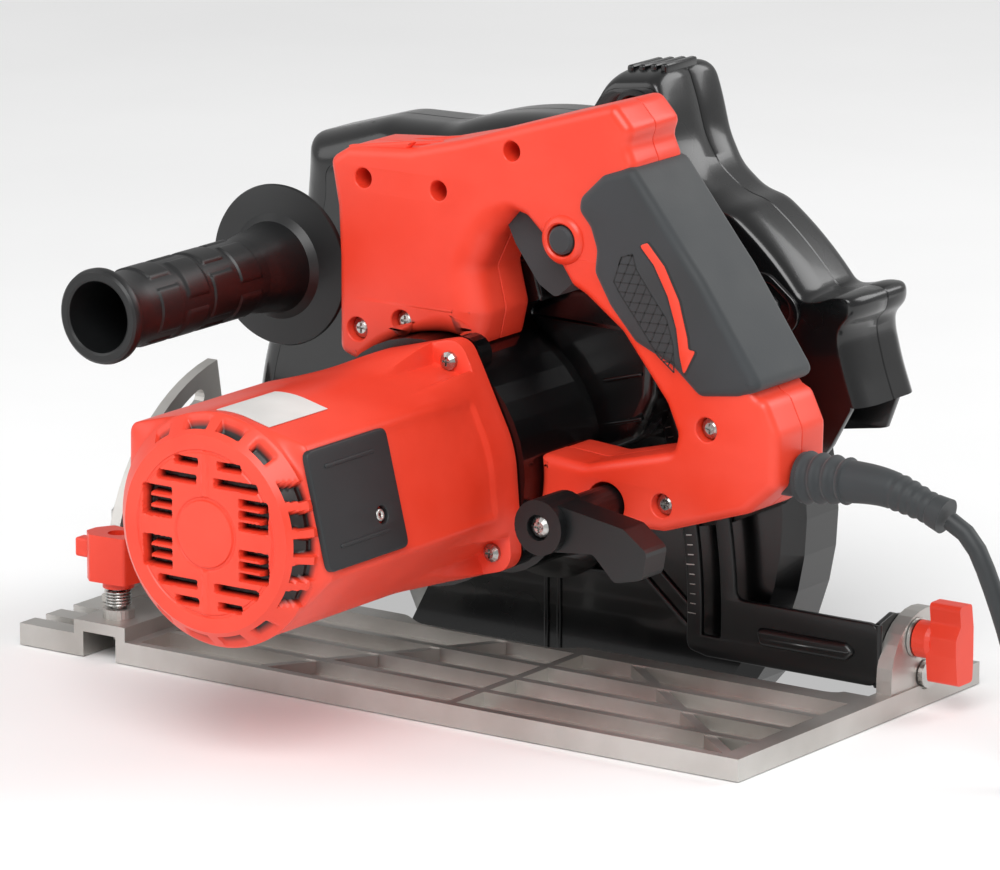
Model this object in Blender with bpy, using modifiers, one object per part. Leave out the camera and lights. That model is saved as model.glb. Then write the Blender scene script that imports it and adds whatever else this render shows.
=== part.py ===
"""Hand-held circular saw with a D handle, a side handle and a cast sole plate.

Lengths are in millimetres; the builders below turn them into metres.
+X is the cutting direction, +Y the motor side, +Z up.  The sole's underside is Z = 0,
and the spindle stands over X = 0.  Each moving group hangs from an empty on its axis.
"""
import math

import bmesh
import bpy
import numpy as np
from mathutils import Matrix, Vector

MM = 0.001
GAP = 0.3            # left between pieces that touch

# sole plate
PLATE_LENGTH = 350.0
PLATE_WIDTH = 174.0
PLATE_REAR = -169.0  # rear edge, from the spindle
PLATE_RIM = 9.0      # height of rim and ribs
PLATE_SKIN = 3.5
RIB = 4.0
CROSS_RIB_X = -32.0
SLOT_REAR, SLOT_FRONT = -150.0, 128.0
SLOT_NEAR, SLOT_FAR = -14.0, -82.0
RAIL_HEIGHT = 4.0    # the narrow rail outside the slot
CHANNEL_WIDTH = 16.5  # parallel-guide channel
CHANNEL_X = 140.0
CHANNEL_HEIGHT = 5.5
FENCE_Y = 74.0       # the guide's clamp screw

# blade and its axis
BLADE_Y = -47.0
BLADE_RADIUS = 105.0
BLADE_THICK = 2.4
BLADE_TEETH = 24
SPINDLE_Z = 69.0
SPINDLE_RADIUS = 8.4
FLANGE_RADIUS = 20.0

# reduction gears
MODULE = 1.25
PINION_TEETH, GEAR_TEETH = 7, 33
GEAR_FACE = 12.0
MOTOR_X = 6.5

# guards
LOWER_RADIUS = 116.0
LOWER_WIDTH = 30.0
LOWER_WALL = 2.0
LOWER_START, LOWER_END = -42.0, -216.0   # degrees round the spindle, from +X towards +Z
HUB_RADIUS = 27.0    # the lower guard turns on the gear case's boss
UPPER_RADIUS = 151.5
UPPER_NEAR, UPPER_FAR = -27.0, -70.0
UPPER_WALL = 3.0
SEAM_Y = -50.0

# pivots
BEVEL_Y, BEVEL_Z = -47.0, 13.0
BEVEL_BOLT_RADIUS = 17.0
BEVEL_BOLT_ANGLE = 69.4
BEVEL_RANGE = 45.0
QUADRANT_RADIUS = 76.0
QUADRANT_X = 170.0
QUADRANT_THICK = 5.0
QUADRANT_START = 22.0    # degrees, the bevel scale's lower end
DEPTH_X, DEPTH_Z = 155.0, 28.0
CLAMP_X, CLAMP_Z = -75.0, 86.0
BRACKET_Y = -24.0    # outer face of the rear bracket
SHEET = 2.5          # steel sheet of the brackets
EAR_X = -168.0
EAR_THICK = 7.0

# motor
MOTOR_RADIUS = 46.0
MOTOR_WALL = 2.5
FLANGE_Y = 50.0
MOTOR_END = 190.0
COVER = (119.0, 178.0, 79.0, 127.0)      # the brush cover's Y and Z extents

# handle
HANDLE_NEAR, HANDLE_FAR = 40.0, 4.0
HANDLE_WALL = 3.0
AUX_X, AUX_Z = 89.0, 159.5
AUX_START, AUX_END = 30.0, 150.0
LEVER_Y = 66.0
LOCK_X, LOCK_Z = -54.6, 188.8            # the lock-off button

# cord
CORD_DIAMETER = 7.5
CORD_ROUTE = [(-221.8, 22, 97.0), (-233, 22, 89), (-245, 22, 64), (-256, 22, 34), (-269, 23, 13),
              (-286, 26, 4.8), (-303, 32.5, 3.9), (-318, 40.5, 3.9)]   # handle to coil
COIL_CENTRE = (-376.0, 20.0)
COIL_OUTER, COIL_INNER, COIL_HEIGHT = 55.0, 25.0, 30.0

MOTOR_Z = SPINDLE_Z + math.sqrt(
    (MODULE * (PINION_TEETH + GEAR_TEETH) / 2) ** 2 - MOTOR_X ** 2)
PLATE_FRONT = PLATE_REAR + PLATE_LENGTH
HANDLE_MID = (HANDLE_NEAR + HANDLE_FAR) / 2

PAINTS = {           # colour, roughness, metallic
    "cast_aluminium": ((0.60, 0.59, 0.57), 0.45, 1.0),
    "black_steel": ((0.012, 0.012, 0.013), 0.35, 0.3),
    "black_shell": ((0.010, 0.010, 0.011), 0.25, 0.0),
    "red_shell": ((0.80, 0.05, 0.02), 0.45, 0.0),
    "grey_rubber": ((0.04, 0.045, 0.048), 0.75, 0.0),
    "black_nylon": ((0.015, 0.016, 0.017), 0.5, 0.0),
    "bright_steel": ((0.62, 0.62, 0.62), 0.3, 1.0),
    "copper": ((0.70, 0.33, 0.18), 0.35, 1.0),
    "carbon": ((0.03, 0.03, 0.03), 0.6, 0.0),
}


# ---------------------------------------------------------------- builders

def clear_scene():
    for obj in list(bpy.data.objects):
        bpy.data.objects.remove(obj, do_unlink=True)


def new_collection(name):
    made = bpy.data.collections.new(name)
    bpy.context.scene.collection.children.link(made)
    return made


def paint(name):
    """The material of that name, made when it is first asked for."""
    found = bpy.data.materials.get(name)
    if found:
        return found
    colour, roughness, metallic = PAINTS[name]
    made = bpy.data.materials.new(name)
    made.use_nodes = True
    shader = made.node_tree.nodes["Principled BSDF"]
    shader.inputs["Base Color"].default_value = (*colour, 1)
    shader.inputs["Roughness"].default_value = roughness
    shader.inputs["Metallic"].default_value = metallic
    return made


def add_mesh(name, mesh, finish, parent=None):
    """Puts a mesh, in world metres, into the scene under its parent empty."""
    mesh.shade_smooth()
    mesh.set_sharp_from_angle(angle=math.radians(35))
    obj = bpy.data.objects.new(name, mesh)
    saw.objects.link(obj)
    mesh.materials.append(paint(finish))
    if parent:
        origin = parent.location.copy()
        mesh.transform(Matrix.Translation(-origin))
        obj.parent = parent
    return obj


def axis_empty(name, x, y, z):
    """An empty on a joint's axis; its children's meshes are kept about it."""
    empty = bpy.data.objects.new(name, None)
    saw.objects.link(empty)
    empty.location = (x * MM, y * MM, z * MM)
    empty.empty_display_size = 0.02
    return empty


def finish_bmesh(bm, name):
    bmesh.ops.recalc_face_normals(bm, faces=bm.faces)
    mesh = bpy.data.meshes.new(name)
    bm.to_mesh(mesh)
    bm.free()
    return mesh


def box_mesh(low, high, bevel=0.0):
    bm = bmesh.new()
    bmesh.ops.create_cube(bm, size=1)
    low, high = Vector(low) * MM, Vector(high) * MM
    size = high - low
    for vert in bm.verts:
        vert.co = Vector([(low[k] + high[k]) / 2 + vert.co[k] * size[k] for k in range(3)])
    if bevel:
        bmesh.ops.bevel(bm, geom=bm.edges[:], offset=bevel * MM, segments=2,
                        profile=0.5, affect="EDGES")
    return finish_bmesh(bm, "box")


TURN = {"X": Matrix.Rotation(math.radians(90), 4, "Y"),
        "Y": Matrix.Rotation(math.radians(-90), 4, "X"),
        "Z": Matrix.Identity(4)}


def turned_mesh(profile, axis, centre, sides=24):
    """Turns (radius, height) points round an axis with a Screw modifier.

    The heights run from the top down, so that the faces point out.
    """
    points = [(r * MM, 0.0, h * MM) for r, h in profile]
    mesh = bpy.data.meshes.new("profile")
    closed = profile[0][0] > 0
    edges = [(k, k + 1) for k in range(len(points) - 1)]
    if closed:
        edges.append((len(points) - 1, 0))
    mesh.from_pydata(points, edges, [])
    obj = bpy.data.objects.new("profile", mesh)
    bpy.context.scene.collection.objects.link(obj)
    screw = obj.modifiers.new("turn", "SCREW")
    screw.axis = "Z"
    screw.steps = screw.render_steps = sides
    screw.use_merge_vertices = True
    screw.merge_threshold = 0.00001
    made = baked(obj)
    made.transform(TURN[axis])
    made.transform(Matrix.Translation(Vector(centre) * MM))
    return made


def cylinder(axis, centre, radius, start, end, sides=24):
    """A rod along an axis, from start to end on that axis."""
    at = list(centre)
    at["XYZ".index(axis)] = 0
    return turned_mesh([(0, end), (radius, end), (radius, start), (0, start)], axis, at, sides)


def ring(axis, centre, outer, inner, start, end, sides=24):
    at = list(centre)
    at["XYZ".index(axis)] = 0
    profile = [(outer, end), (outer, start), (inner, start), (inner, end)]
    return turned_mesh(profile, axis, at, sides)


def baked(obj):
    """The evaluated mesh of an object, which is then removed."""
    graph = bpy.context.evaluated_depsgraph_get()
    graph.update()
    made = bpy.data.meshes.new_from_object(obj.evaluated_get(graph))
    made.transform(obj.matrix_world)
    bpy.data.objects.remove(obj, do_unlink=True)
    bm = bmesh.new()
    bm.from_mesh(made)
    bmesh.ops.remove_doubles(bm, verts=bm.verts, dist=0.000005)
    bmesh.ops.recalc_face_normals(bm, faces=bm.faces)
    bm.to_mesh(made)
    bm.free()
    return made


def sheet_mesh(outlines, plane, start, end):
    """A flat outline with any holes, as a filled curve, from start to end across its plane."""
    curve = bpy.data.curves.new("outline", "CURVE")
    curve.dimensions = "2D"
    curve.fill_mode = "BOTH"
    curve.extrude = (end - start) / 2 * MM
    for outline in outlines:
        spline = curve.splines.new("POLY")
        spline.points.add(len(outline) - 1)
        for point, (a, b) in zip(spline.points, outline):
            point.co = (a * MM, b * MM, 0, 1)
        spline.use_cyclic_u = True
    obj = bpy.data.objects.new("outline", curve)
    bpy.context.scene.collection.objects.link(obj)
    middle = (start + end) / 2 * MM
    if plane == "XZ":
        obj.rotation_euler = (math.radians(90), 0, 0)
        obj.location = (0, middle, 0)
    elif plane == "YZ":
        obj.rotation_euler = (math.radians(90), 0, math.radians(90))
        obj.location = (middle, 0, 0)
    else:
        obj.location = (0, 0, middle)
    bpy.context.view_layer.update()
    return baked(obj)


def combine(base, others, operation):
    """Cuts or joins meshes with an exact Boolean each, and returns the result."""
    for other in others:
        target = bpy.data.objects.new("base", base)
        tool = bpy.data.objects.new("tool", other)
        tool.display_type = "WIRE"
        tool.hide_render = True
        bpy.context.scene.collection.objects.link(target)
        cutters.objects.link(tool)
        step = target.modifiers.new("step", "BOOLEAN")
        step.operation = operation
        step.solver = "EXACT"
        step.object = tool
        bpy.context.view_layer.update()
        base = baked(target)
        bpy.data.objects.remove(tool, do_unlink=True)
    return base


def cut(base, *others):
    return combine(base, others, "DIFFERENCE")


def join(base, *others):
    return combine(base, others, "UNION")


def arc(centre, radius, first, last, count):
    """Points on an arc, in degrees from the first axis towards the second."""
    angles = [math.radians(first + (last - first) * k / (count - 1)) for k in range(count)]
    return [(centre[0] + radius * math.cos(a), centre[1] + radius * math.sin(a)) for a in angles]


def circle(centre, radius, count=24):
    return arc(centre, radius, 0, 360 * (count - 1) / count, count)


def arc_slot(centre, radius, half_width, first, last, count=12):
    """An arc-shaped slot with round ends."""
    ends = [(centre[0] + radius * math.cos(math.radians(a)),
             centre[1] + radius * math.sin(math.radians(a))) for a in (first, last)]
    outline = arc(centre, radius + half_width, first, last, count)
    outline += arc(ends[1], half_width, last, last + 180, 7)[1:-1]
    outline += arc(centre, radius - half_width, last, first, count)
    outline += arc(ends[0], half_width, first + 180, first + 360, 7)[1:-1]
    return outline


def rounded(points, radius, count=4):
    """A polygon with its corners rounded to a radius, or less where a side is short."""
    made = []
    total = len(points)
    for k in range(total):
        here = Vector(points[k])
        back = Vector(points[k - 1]) - here
        ahead = Vector(points[(k + 1) % total]) - here
        angle = back.angle(ahead)
        reach = min(radius / math.tan(angle / 2), back.length * 0.45, ahead.length * 0.45)
        start = here + back.normalized() * reach
        end = here + ahead.normalized() * reach
        for step in range(count + 1):
            t = step / count
            spot = start * (1 - t) ** 2 + here * 2 * t * (1 - t) + end * t ** 2
            made.append((spot.x, spot.y))
    return made


def polar(angle, radius, centre=(0.0, SPINDLE_Z)):
    a = math.radians(angle)
    return (centre[0] + radius * math.cos(a), centre[1] + radius * math.sin(a))


def screw_mesh(axis, centre, head, shank, length, towards, head_height=3.0):
    """A pan-head screw: the head's outer face is at the centre, the shank runs away from it."""
    k = "XYZ".index(axis)
    profile = [(0, 0), (head * 0.55, 0), (head, -head_height * 0.45), (head, -head_height),
               (shank, -head_height), (shank, -length), (0, -length)]
    if towards < 0:
        profile = [(r, -h) for r, h in reversed(profile)]
    at = list(centre)
    mesh = turned_mesh(profile, axis, at, 12)
    across = [j for j in range(3) if j != k]
    cross = []
    for j in across:
        low, high = list(centre), list(centre)
        for m in across:
            half = head * 0.5 if m == j else head * 0.12
            low[m], high[m] = centre[m] - half, centre[m] + half
        inner = centre[k] - towards * head_height * 0.5
        low[k], high[k] = min(inner, centre[k] + towards), max(inner, centre[k] + towards)
        cross.append(box_mesh(low, high))
    return cut(mesh, *cross)


# ---------------------------------------------------------------- sole and carriage

def several(*meshes):
    """Separate closed meshes as one cutter."""
    bm = bmesh.new()
    for mesh in meshes:
        bm.from_mesh(mesh)
    return finish_bmesh(bm, "several")


def make_sole():
    half = PLATE_WIDTH / 2
    notch_back = PLATE_FRONT - 25
    outline = [(PLATE_REAR, -half), (PLATE_FRONT, -half)]
    for low, high in ((52, 60), (70, 77)):
        outline += [(PLATE_FRONT, low), (notch_back, low), (notch_back, high), (PLATE_FRONT, high)]
    outline += [(PLATE_FRONT, half), (PLATE_REAR, half)]
    slot = [(SLOT_REAR, SLOT_FAR), (SLOT_FRONT, SLOT_FAR), (SLOT_FRONT, SLOT_NEAR)]
    slot += [(60, SLOT_NEAR), (48, SLOT_NEAR + 8), (-18, SLOT_NEAR + 8), (-30, SLOT_NEAR)]
    slot += [(SLOT_REAR, SLOT_NEAR)]
    plate = sheet_mesh([outline, rounded(slot, 8)[::-1]], "XY", 0, PLATE_RIM)
    channel = CHANNEL_WIDTH / 2
    bridge = box_mesh((CHANNEL_X - 13, 44, PLATE_RIM - 1), (CHANNEL_X + 13, half, 15))
    boss = cylinder("Z", (CHANNEL_X, FENCE_Y, 0), 6.5, 14, 19, 24)
    ear_outline = [(-23.0, 4.0), *arc((-48, 14.5), 25, 0, 180, 17), (-73.0, 4.0)]
    bolt_slot = arc_slot((BEVEL_Y, BEVEL_Z), BEVEL_BOLT_RADIUS, 3.4,
                         BEVEL_BOLT_ANGLE - 2, BEVEL_BOLT_ANGLE + BEVEL_RANGE + 2, 8)
    pin_hole = circle((BEVEL_Y, BEVEL_Z), 3.4, 16)
    ear = sheet_mesh([ear_outline, bolt_slot, pin_hole], "YZ", EAR_X, EAR_X + EAR_THICK)
    plate = join(plate, bridge, boss, ear)
    pockets = []
    lanes = [(-8 + RIB, 16), (16 + RIB, 38), (38 + RIB, 60), (60 + RIB, half - RIB)]
    for near, far in lanes:
        for rear, front in ((PLATE_REAR + 9, CROSS_RIB_X - RIB / 2), (CROSS_RIB_X + RIB / 2, 122)):
            pockets.append(box_mesh((rear, near, PLATE_SKIN), (front, far, PLATE_RIM + 5)))
    pockets.append(box_mesh((EAR_X + EAR_THICK + 0.01, -75, PLATE_SKIN),
                            (SLOT_REAR + 1, -18, PLATE_RIM + 5)))
    pockets.append(box_mesh((SLOT_REAR - 5, -half - 1, RAIL_HEIGHT),
                            (SLOT_FRONT + 2, SLOT_FAR + 0.1, PLATE_RIM + 5)))
    groove = box_mesh((CHANNEL_X - channel, -half - 1, -1), (CHANNEL_X + channel, half + 1,
                                                           CHANNEL_HEIGHT))
    deep = box_mesh((CHANNEL_X - channel, 44, -1), (CHANNEL_X + channel, half + 1, 10.5))
    bolt_hole = cylinder("Z", (CHANNEL_X, FENCE_Y, 0), 3.4, 8, 22, 20)
    head_seat = cylinder("X", (0, BEVEL_Y, BEVEL_Z), 6.3, EAR_X - 3, EAR_X + GAP, 24)
    plate = cut(plate, several(*pockets), groove, deep, bolt_hole, head_seat)
    rear_brace = slanted_rib((-57, -7), (PLATE_REAR + 8, half - 6))
    front_brace = slanted_rib((5, -5), (62, half - 6))
    add_mesh("sole_plate", join(plate, rear_brace, front_brace), "cast_aluminium")


def slanted_rib(start, end):
    """A low rib across the sole's pockets from one point to the other."""
    (x0, y0), (x1, y1) = start, end
    length = math.hypot(x1 - x0, y1 - y0)
    across = (-(y1 - y0) / length * RIB / 2, (x1 - x0) / length * RIB / 2)
    outline = [(x0 - across[0], y0 - across[1]), (x1 - across[0], y1 - across[1]),
               (x1 + across[0], y1 + across[1]), (x0 + across[0], y0 + across[1])]
    return sheet_mesh([outline], "XY", PLATE_SKIN - 1, PLATE_RIM - 0.6)


def bolt_spot(angle, radius):
    return (BEVEL_Y + radius * math.cos(math.radians(angle)),
            BEVEL_Z + radius * math.sin(math.radians(angle)))


def make_quadrant():
    centre = (BEVEL_Y, BEVEL_Z)
    outline = arc(centre, QUADRANT_RADIUS + 10, 0, 80, 18)
    outline += arc(centre, QUADRANT_RADIUS - 12, 80, 0, 14)
    outline += [(BEVEL_Y + QUADRANT_RADIUS - 12, PLATE_RIM + GAP),
                (BEVEL_Y + QUADRANT_RADIUS + 10, PLATE_RIM + GAP)]
    slot = arc_slot(centre, QUADRANT_RADIUS, 3.4, QUADRANT_START - 2,
                    QUADRANT_START + BEVEL_RANGE + 2)
    mesh = sheet_mesh([outline, slot], "YZ", QUADRANT_X, QUADRANT_X + QUADRANT_THICK)
    foot = box_mesh((QUADRANT_X - 10, 14, PLATE_RIM + GAP), (QUADRANT_X + 4, 42, PLATE_RIM + 3.5))
    mesh = join(mesh, foot)
    add_mesh("front_quadrant", mesh, "cast_aluminium")


def make_fence_clamp(knob_axis):
    add_mesh("fence_spring", ring("Z", (CHANNEL_X, FENCE_Y, 0), 5.6, 3.6, 19.3, 27.4, 24),
             "black_steel")
    bolt = turned_mesh([(0, 34), (3, 34), (3, 6.2), (0, 6.2)], "Z", (CHANNEL_X, FENCE_Y, 0), 20)
    add_mesh("fence_bolt", bolt, "bright_steel", knob_axis)
    body = sheet_mesh([rounded([(-11, -7), (9, -9), (13, -2), (13, 4), (8, 9), (-9, 8)], 2)],
                      "XY", 30.5, 50)
    body.transform(Matrix.Translation(Vector((CHANNEL_X, FENCE_Y, 0)) * MM))
    skirt = cylinder("Z", (CHANNEL_X, FENCE_Y, 0), 6.5, 27.7, 31, 24)
    wing = box_mesh((CHANNEL_X + 11, FENCE_Y - 3, 38), (CHANNEL_X + 20, FENCE_Y + 3, 46), 1)
    bore = cylinder("Z", (CHANNEL_X, FENCE_Y, 0), 3.3, 20, 34.3, 20)
    top = cylinder("Z", (CHANNEL_X, FENCE_Y, 0), 4.2, 42, 52, 20)
    knob = cut(join(body, skirt, wing), bore, top)
    add_mesh("fence_knob", knob, "red_shell", knob_axis)


def make_rear_bracket(carriage):
    near = EAR_X + EAR_THICK + GAP
    bolt = bolt_spot(BEVEL_BOLT_ANGLE, BEVEL_BOLT_RADIUS)
    flange = [*arc((BEVEL_Y, BEVEL_Z), 8, 180, 300, 9), (BRACKET_Y, 10.5), (BRACKET_Y, 35.5),
              (BRACKET_Y - 12, 39), *arc(bolt, 8.5, 90, 150, 5)]
    holes = [circle((BEVEL_Y, BEVEL_Z), 3.4, 16), circle(bolt, 3.3, 16)]
    plate = sheet_mesh([flange, *holes], "YZ", near, near + SHEET)
    pivot = (DEPTH_X, DEPTH_Z)
    reach = math.hypot(CLAMP_X - DEPTH_X, CLAMP_Z - DEPTH_Z)
    rear_edge = arc(pivot, reach + 11.5, 155.2, 176, 12)
    front_edge = arc(pivot, reach - 11.5, 184.4, 155.2, 16)
    arm = [*rear_edge, (near + 0.2, 35.5), (near + 0.2, 10.5), *front_edge]
    slot = arc_slot(pivot, reach, 4.6, 157.4, 182.4, 14)
    upright = sheet_mesh([arm, slot], "XZ", BRACKET_Y - SHEET, BRACKET_Y)
    add_mesh("rear_bracket", join(plate, upright), "black_steel", carriage)


def make_front_bracket(carriage):
    front = QUADRANT_X - GAP
    bolt = bolt_spot(QUADRANT_START, QUADRANT_RADIUS)
    outline = [(-60, 27), (-30, 14), (10, 14), *arc(bolt, 8, -60, 90, 7), (-10, 46), (-60, 46)]
    plate = sheet_mesh([outline, circle(bolt, 3.4, 16)], "YZ", front - SHEET, front)
    lug = [(front - 0.5, DEPTH_Z - 8), (front - 0.5, DEPTH_Z + 8),
           *arc((DEPTH_X, DEPTH_Z), 8, 90, 270, 11)]
    hole = circle((DEPTH_X, DEPTH_Z), 4.15, 20)
    lugs = [sheet_mesh([lug, hole], "XZ", low, low + SHEET)
            for low in (SEAM_Y - 3.0, UPPER_NEAR + 0.5)]
    add_mesh("front_bracket", join(plate, *lugs), "black_steel", carriage)
    pin = turned_mesh([(0, -21.4), (6, -21.4), (6, -23.6), (3.9, -23.6), (3.9, -55), (0, -55)],
                      "Y", (DEPTH_X, 0, DEPTH_Z), 24)
    add_mesh("depth_pin", pin, "bright_steel", carriage)
    bolt_mesh = turned_mesh([(0, 9), (6, 9), (6, 5.4), (3.1, 5.4), (3.1, -6.0), (0, -6.0)],
                            "X", (QUADRANT_X, *bolt), 6)
    add_mesh("front_bevel_bolt", bolt_mesh, "bright_steel", carriage)


def make_bevel_knob(carriage, knob_axis):
    y, z = bolt_spot(BEVEL_BOLT_ANGLE, BEVEL_BOLT_RADIUS)
    washer = ring("X", (0, y, z), 8, 3.4, EAR_X - 1.8, EAR_X - GAP, 24)
    add_mesh("bevel_washer", washer, "bright_steel", carriage)
    pin = turned_mesh([(0, 12.5), (3.1, 12.5), (3.1, -0.3), (5.5, -0.3), (5.5, -2.5), (0, -2.5)],
                      "X", (EAR_X, BEVEL_Y, BEVEL_Z), 20)
    add_mesh("bevel_pin", pin, "bright_steel", carriage)
    bolt = turned_mesh([(0, 12.5), (5.5, 12.5), (5.5, 10.1), (3.0, 10.1), (3.0, -12), (0, -12)],
                       "X", (EAR_X, y, z), 20)
    add_mesh("bevel_bolt", bolt, "bright_steel", carriage)
    hub = turned_mesh([(0, -2.2), (7.5, -2.2), (7.5, -8), (6.5, -10), (0, -10)],
                      "X", (EAR_X, y, z), 28)
    wing = [(-6.5, -16), (4.5, -16), (6, -4), (6, 3), (2.5, 8), (3.5, 16), (-5.5, 16), (-7, 6),
            (-7, -6)]
    fin = sheet_mesh([[(a + y, b + z) for a, b in rounded(wing, 2)]], "YZ", EAR_X - 22, EAR_X - 8)
    bore = cylinder("X", (0, y, z), 3.3, EAR_X - 13, EAR_X, 20)
    add_mesh("rear_bevel_knob", cut(join(hub, fin), bore), "red_shell", knob_axis)


# ---------------------------------------------------------------- guards and blade

def volute(angle):
    """The upper guard's outer radius, which grows towards the dust outlet."""
    return UPPER_RADIUS + max(0.0, angle - 90) * 0.16


def volute_points(first, last, inset, count):
    angles = np.linspace(first, last, count)
    return [polar(a, volute(a) - inset) for a in angles]


def guard_outline():
    """The upper guard from its front edge over the top to the dust outlet."""
    outline = volute_points(-4, 34, 0, 8)
    outline += [(126, 197), (85, 208), *volute_points(68, 92, 0, 5)]
    outline += [(-26, 232), (-31, 241), (-55, 244.5), (-64, 236), *volute_points(118, 143, 0, 7)]
    outline += [(-147, 165), (-144, 146), (-155, 121)]
    return outline


def guard_cavity(y0, y1):
    space = volute_points(-24, 163, UPPER_WALL, 26) + [(-170, 60), (-170, -20), (190, -20)]
    return sheet_mesh([space], "XZ", y0, y1)


def make_upper_guard(depth):
    nose = arc((DEPTH_X, DEPTH_Z), 9, -90, 60, 8)
    hub = arc((0, SPINDLE_Z), 38, 190, 340, 12)
    outline = guard_outline() + [(-136, 104), (-114, 78), (-88, 66), (-60, 60), *hub, (60, 52),
                                 (DEPTH_X - 12, DEPTH_Z - 6), *nose]
    holes = [circle((0, SPINDLE_Z), HUB_RADIUS + 0.4, 32), circle((DEPTH_X, DEPTH_Z), 4.2, 20),
             circle((-42.6, 227.3), 6.5, 20), circle((CLAMP_X, CLAMP_Z), 4.4, 16),
             circle((AUX_X, AUX_Z), 4.7, 16)]
    shell = sheet_mesh([outline, *holes], "XZ", SEAM_Y, UPPER_NEAR)
    lug_keep = guard_cavity(SEAM_Y - 1, UPPER_NEAR - UPPER_WALL)
    nose_block = box_mesh((134, SEAM_Y - 2, 0), (180, UPPER_NEAR, 62))
    shell = cut(shell, cut(lug_keep, nose_block))
    boss = turned_mesh([(15, AUX_START - GAP), (17, UPPER_NEAR - 0.5), (4.4, UPPER_NEAR - 0.5),
                        (4.4, AUX_START - GAP)], "Y", (AUX_X, 0, AUX_Z), 20)
    add_mesh("upper_guard", join(shell, boss), "black_shell", depth)
    cover = guard_outline() + [(-136, 104), (-60, 92), (70, 70), (140, 58)]
    far = sheet_mesh([cover], "XZ", UPPER_FAR, SEAM_Y - GAP)
    far = cut(far, guard_cavity(UPPER_FAR + UPPER_WALL, SEAM_Y + 1))
    add_mesh("upper_guard_cover", far, "black_shell", depth)


def make_lower_guard(guard_axis):
    near = BLADE_Y + 12.6
    far = near - LOWER_WIDTH
    wall, rim = LOWER_WALL, LOWER_RADIUS
    profile = [(rim - 7, near), (rim, near - 7), (rim, far), (72, far), (72, far + wall),
               (rim - wall, far + wall), (rim - wall, near - 8), (rim - 8, near - wall),
               (HUB_RADIUS, near - wall), (HUB_RADIUS, near)]
    shell = turned_mesh(profile, "Y", (0, 0, SPINDLE_Z), 48)
    gap_end = LOWER_END + 360
    opening = [(88, -28.8), (70.4, 4.2), (57.7, 28), *arc((0, SPINDLE_Z), 36, -22, gap_end, 16)]
    opening += arc((0, SPINDLE_Z), rim + 30, gap_end, LOWER_START, 10)
    shell = cut(shell, sheet_mesh([opening], "XZ", far - 2, near + 2))
    add_mesh("lower_guard", shell, "black_shell", guard_axis)


def make_blade_group(spindle):
    centre = (0, 0, SPINDLE_Z)
    outline = []
    pitch = 360 / BLADE_TEETH
    for k in range(BLADE_TEETH):
        start = k * pitch
        for turn, radius in ((0, BLADE_RADIUS), (0.32, BLADE_RADIUS - 2.2), (0.62, BLADE_RADIUS - 4),
                             (0.8, BLADE_RADIUS - 9), (0.92, BLADE_RADIUS - 8)):
            outline.append(polar(start + turn * pitch, radius))
    blade = sheet_mesh([outline, circle((0, SPINDLE_Z), 15, 32)], "XZ",
                       BLADE_Y - BLADE_THICK / 2, BLADE_Y + BLADE_THICK / 2)
    add_mesh("saw_blade", blade, "bright_steel", spindle)
    inner = turned_mesh([(14, -40), (FLANGE_RADIUS, -42), (FLANGE_RADIUS, -45.5), (14.7, -45.5),
                         (14.7, -48.2), (8.5, -48.2), (8.5, -40)], "Y", centre)
    add_mesh("inner_flange", inner, "bright_steel", spindle)
    outer = turned_mesh([(FLANGE_RADIUS, -48.5), (FLANGE_RADIUS, -53), (14, -55.8), (4.4, -55.8),
                         (4.4, -51.4), (8.5, -51.4), (8.5, -48.5)], "Y", centre)
    add_mesh("outer_flange", outer, "bright_steel", spindle)
    bolt = turned_mesh([(0, -38), (4, -38), (4, -56.1), (9, -56.1), (9, -61), (0, -61)],
                       "Y", centre, 6)
    add_mesh("blade_bolt", bolt, "bright_steel", spindle)
    shaft = turned_mesh([(0, 11.7), (4.1, 11.7), (4.1, 4.8), (SPINDLE_RADIUS, 4.8), (SPINDLE_RADIUS, -51), (4.9, -51),
                         (4.9, -37), (0, -37)], "Y", centre)
    add_mesh("spindle", shaft, "bright_steel", spindle)


def gear_outline(teeth, centre, phase, bore):
    """Trapezium teeth, a little thin so that a pair runs with backlash."""
    pitch_radius = MODULE * teeth / 2
    outline = []
    for k in range(teeth):
        middle = phase + 360 * k / teeth
        step = 360 / teeth
        for turn, radius in ((-0.30, pitch_radius - 1.15 * MODULE), (-0.11, pitch_radius + 0.85 * MODULE),
                             (0.11, pitch_radius + 0.85 * MODULE), (0.30, pitch_radius - 1.15 * MODULE)):
            outline.append(polar(middle + turn * step, radius, centre))
    return [outline, circle(centre, bore, 20)] if bore else [outline]


def make_gears(spindle, armature):
    line = math.degrees(math.atan2(MOTOR_Z - SPINDLE_Z, MOTOR_X))
    gear = sheet_mesh(gear_outline(GEAR_TEETH, (0, SPINDLE_Z), line, 8.5), "XZ", -20, -20 + GEAR_FACE)
    add_mesh("driven_gear", gear, "bright_steel", spindle)
    half_tooth = 180 / PINION_TEETH
    pinion = sheet_mesh(gear_outline(PINION_TEETH, (MOTOR_X, MOTOR_Z), line + 180 + half_tooth, 0),
                        "XZ", -21, -7)
    shaft = turned_mesh([(0, 176), (4.1, 176), (4.1, 160), (6.0, 160), (6.0, -1), (2.6, -2),
                         (2.6, -8), (0, -8)], "Y", (MOTOR_X, 0, MOTOR_Z), 24)
    add_mesh("armature_shaft", join(shaft, pinion), "bright_steel", armature)


# ---------------------------------------------------------------- gear case and motor

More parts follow.
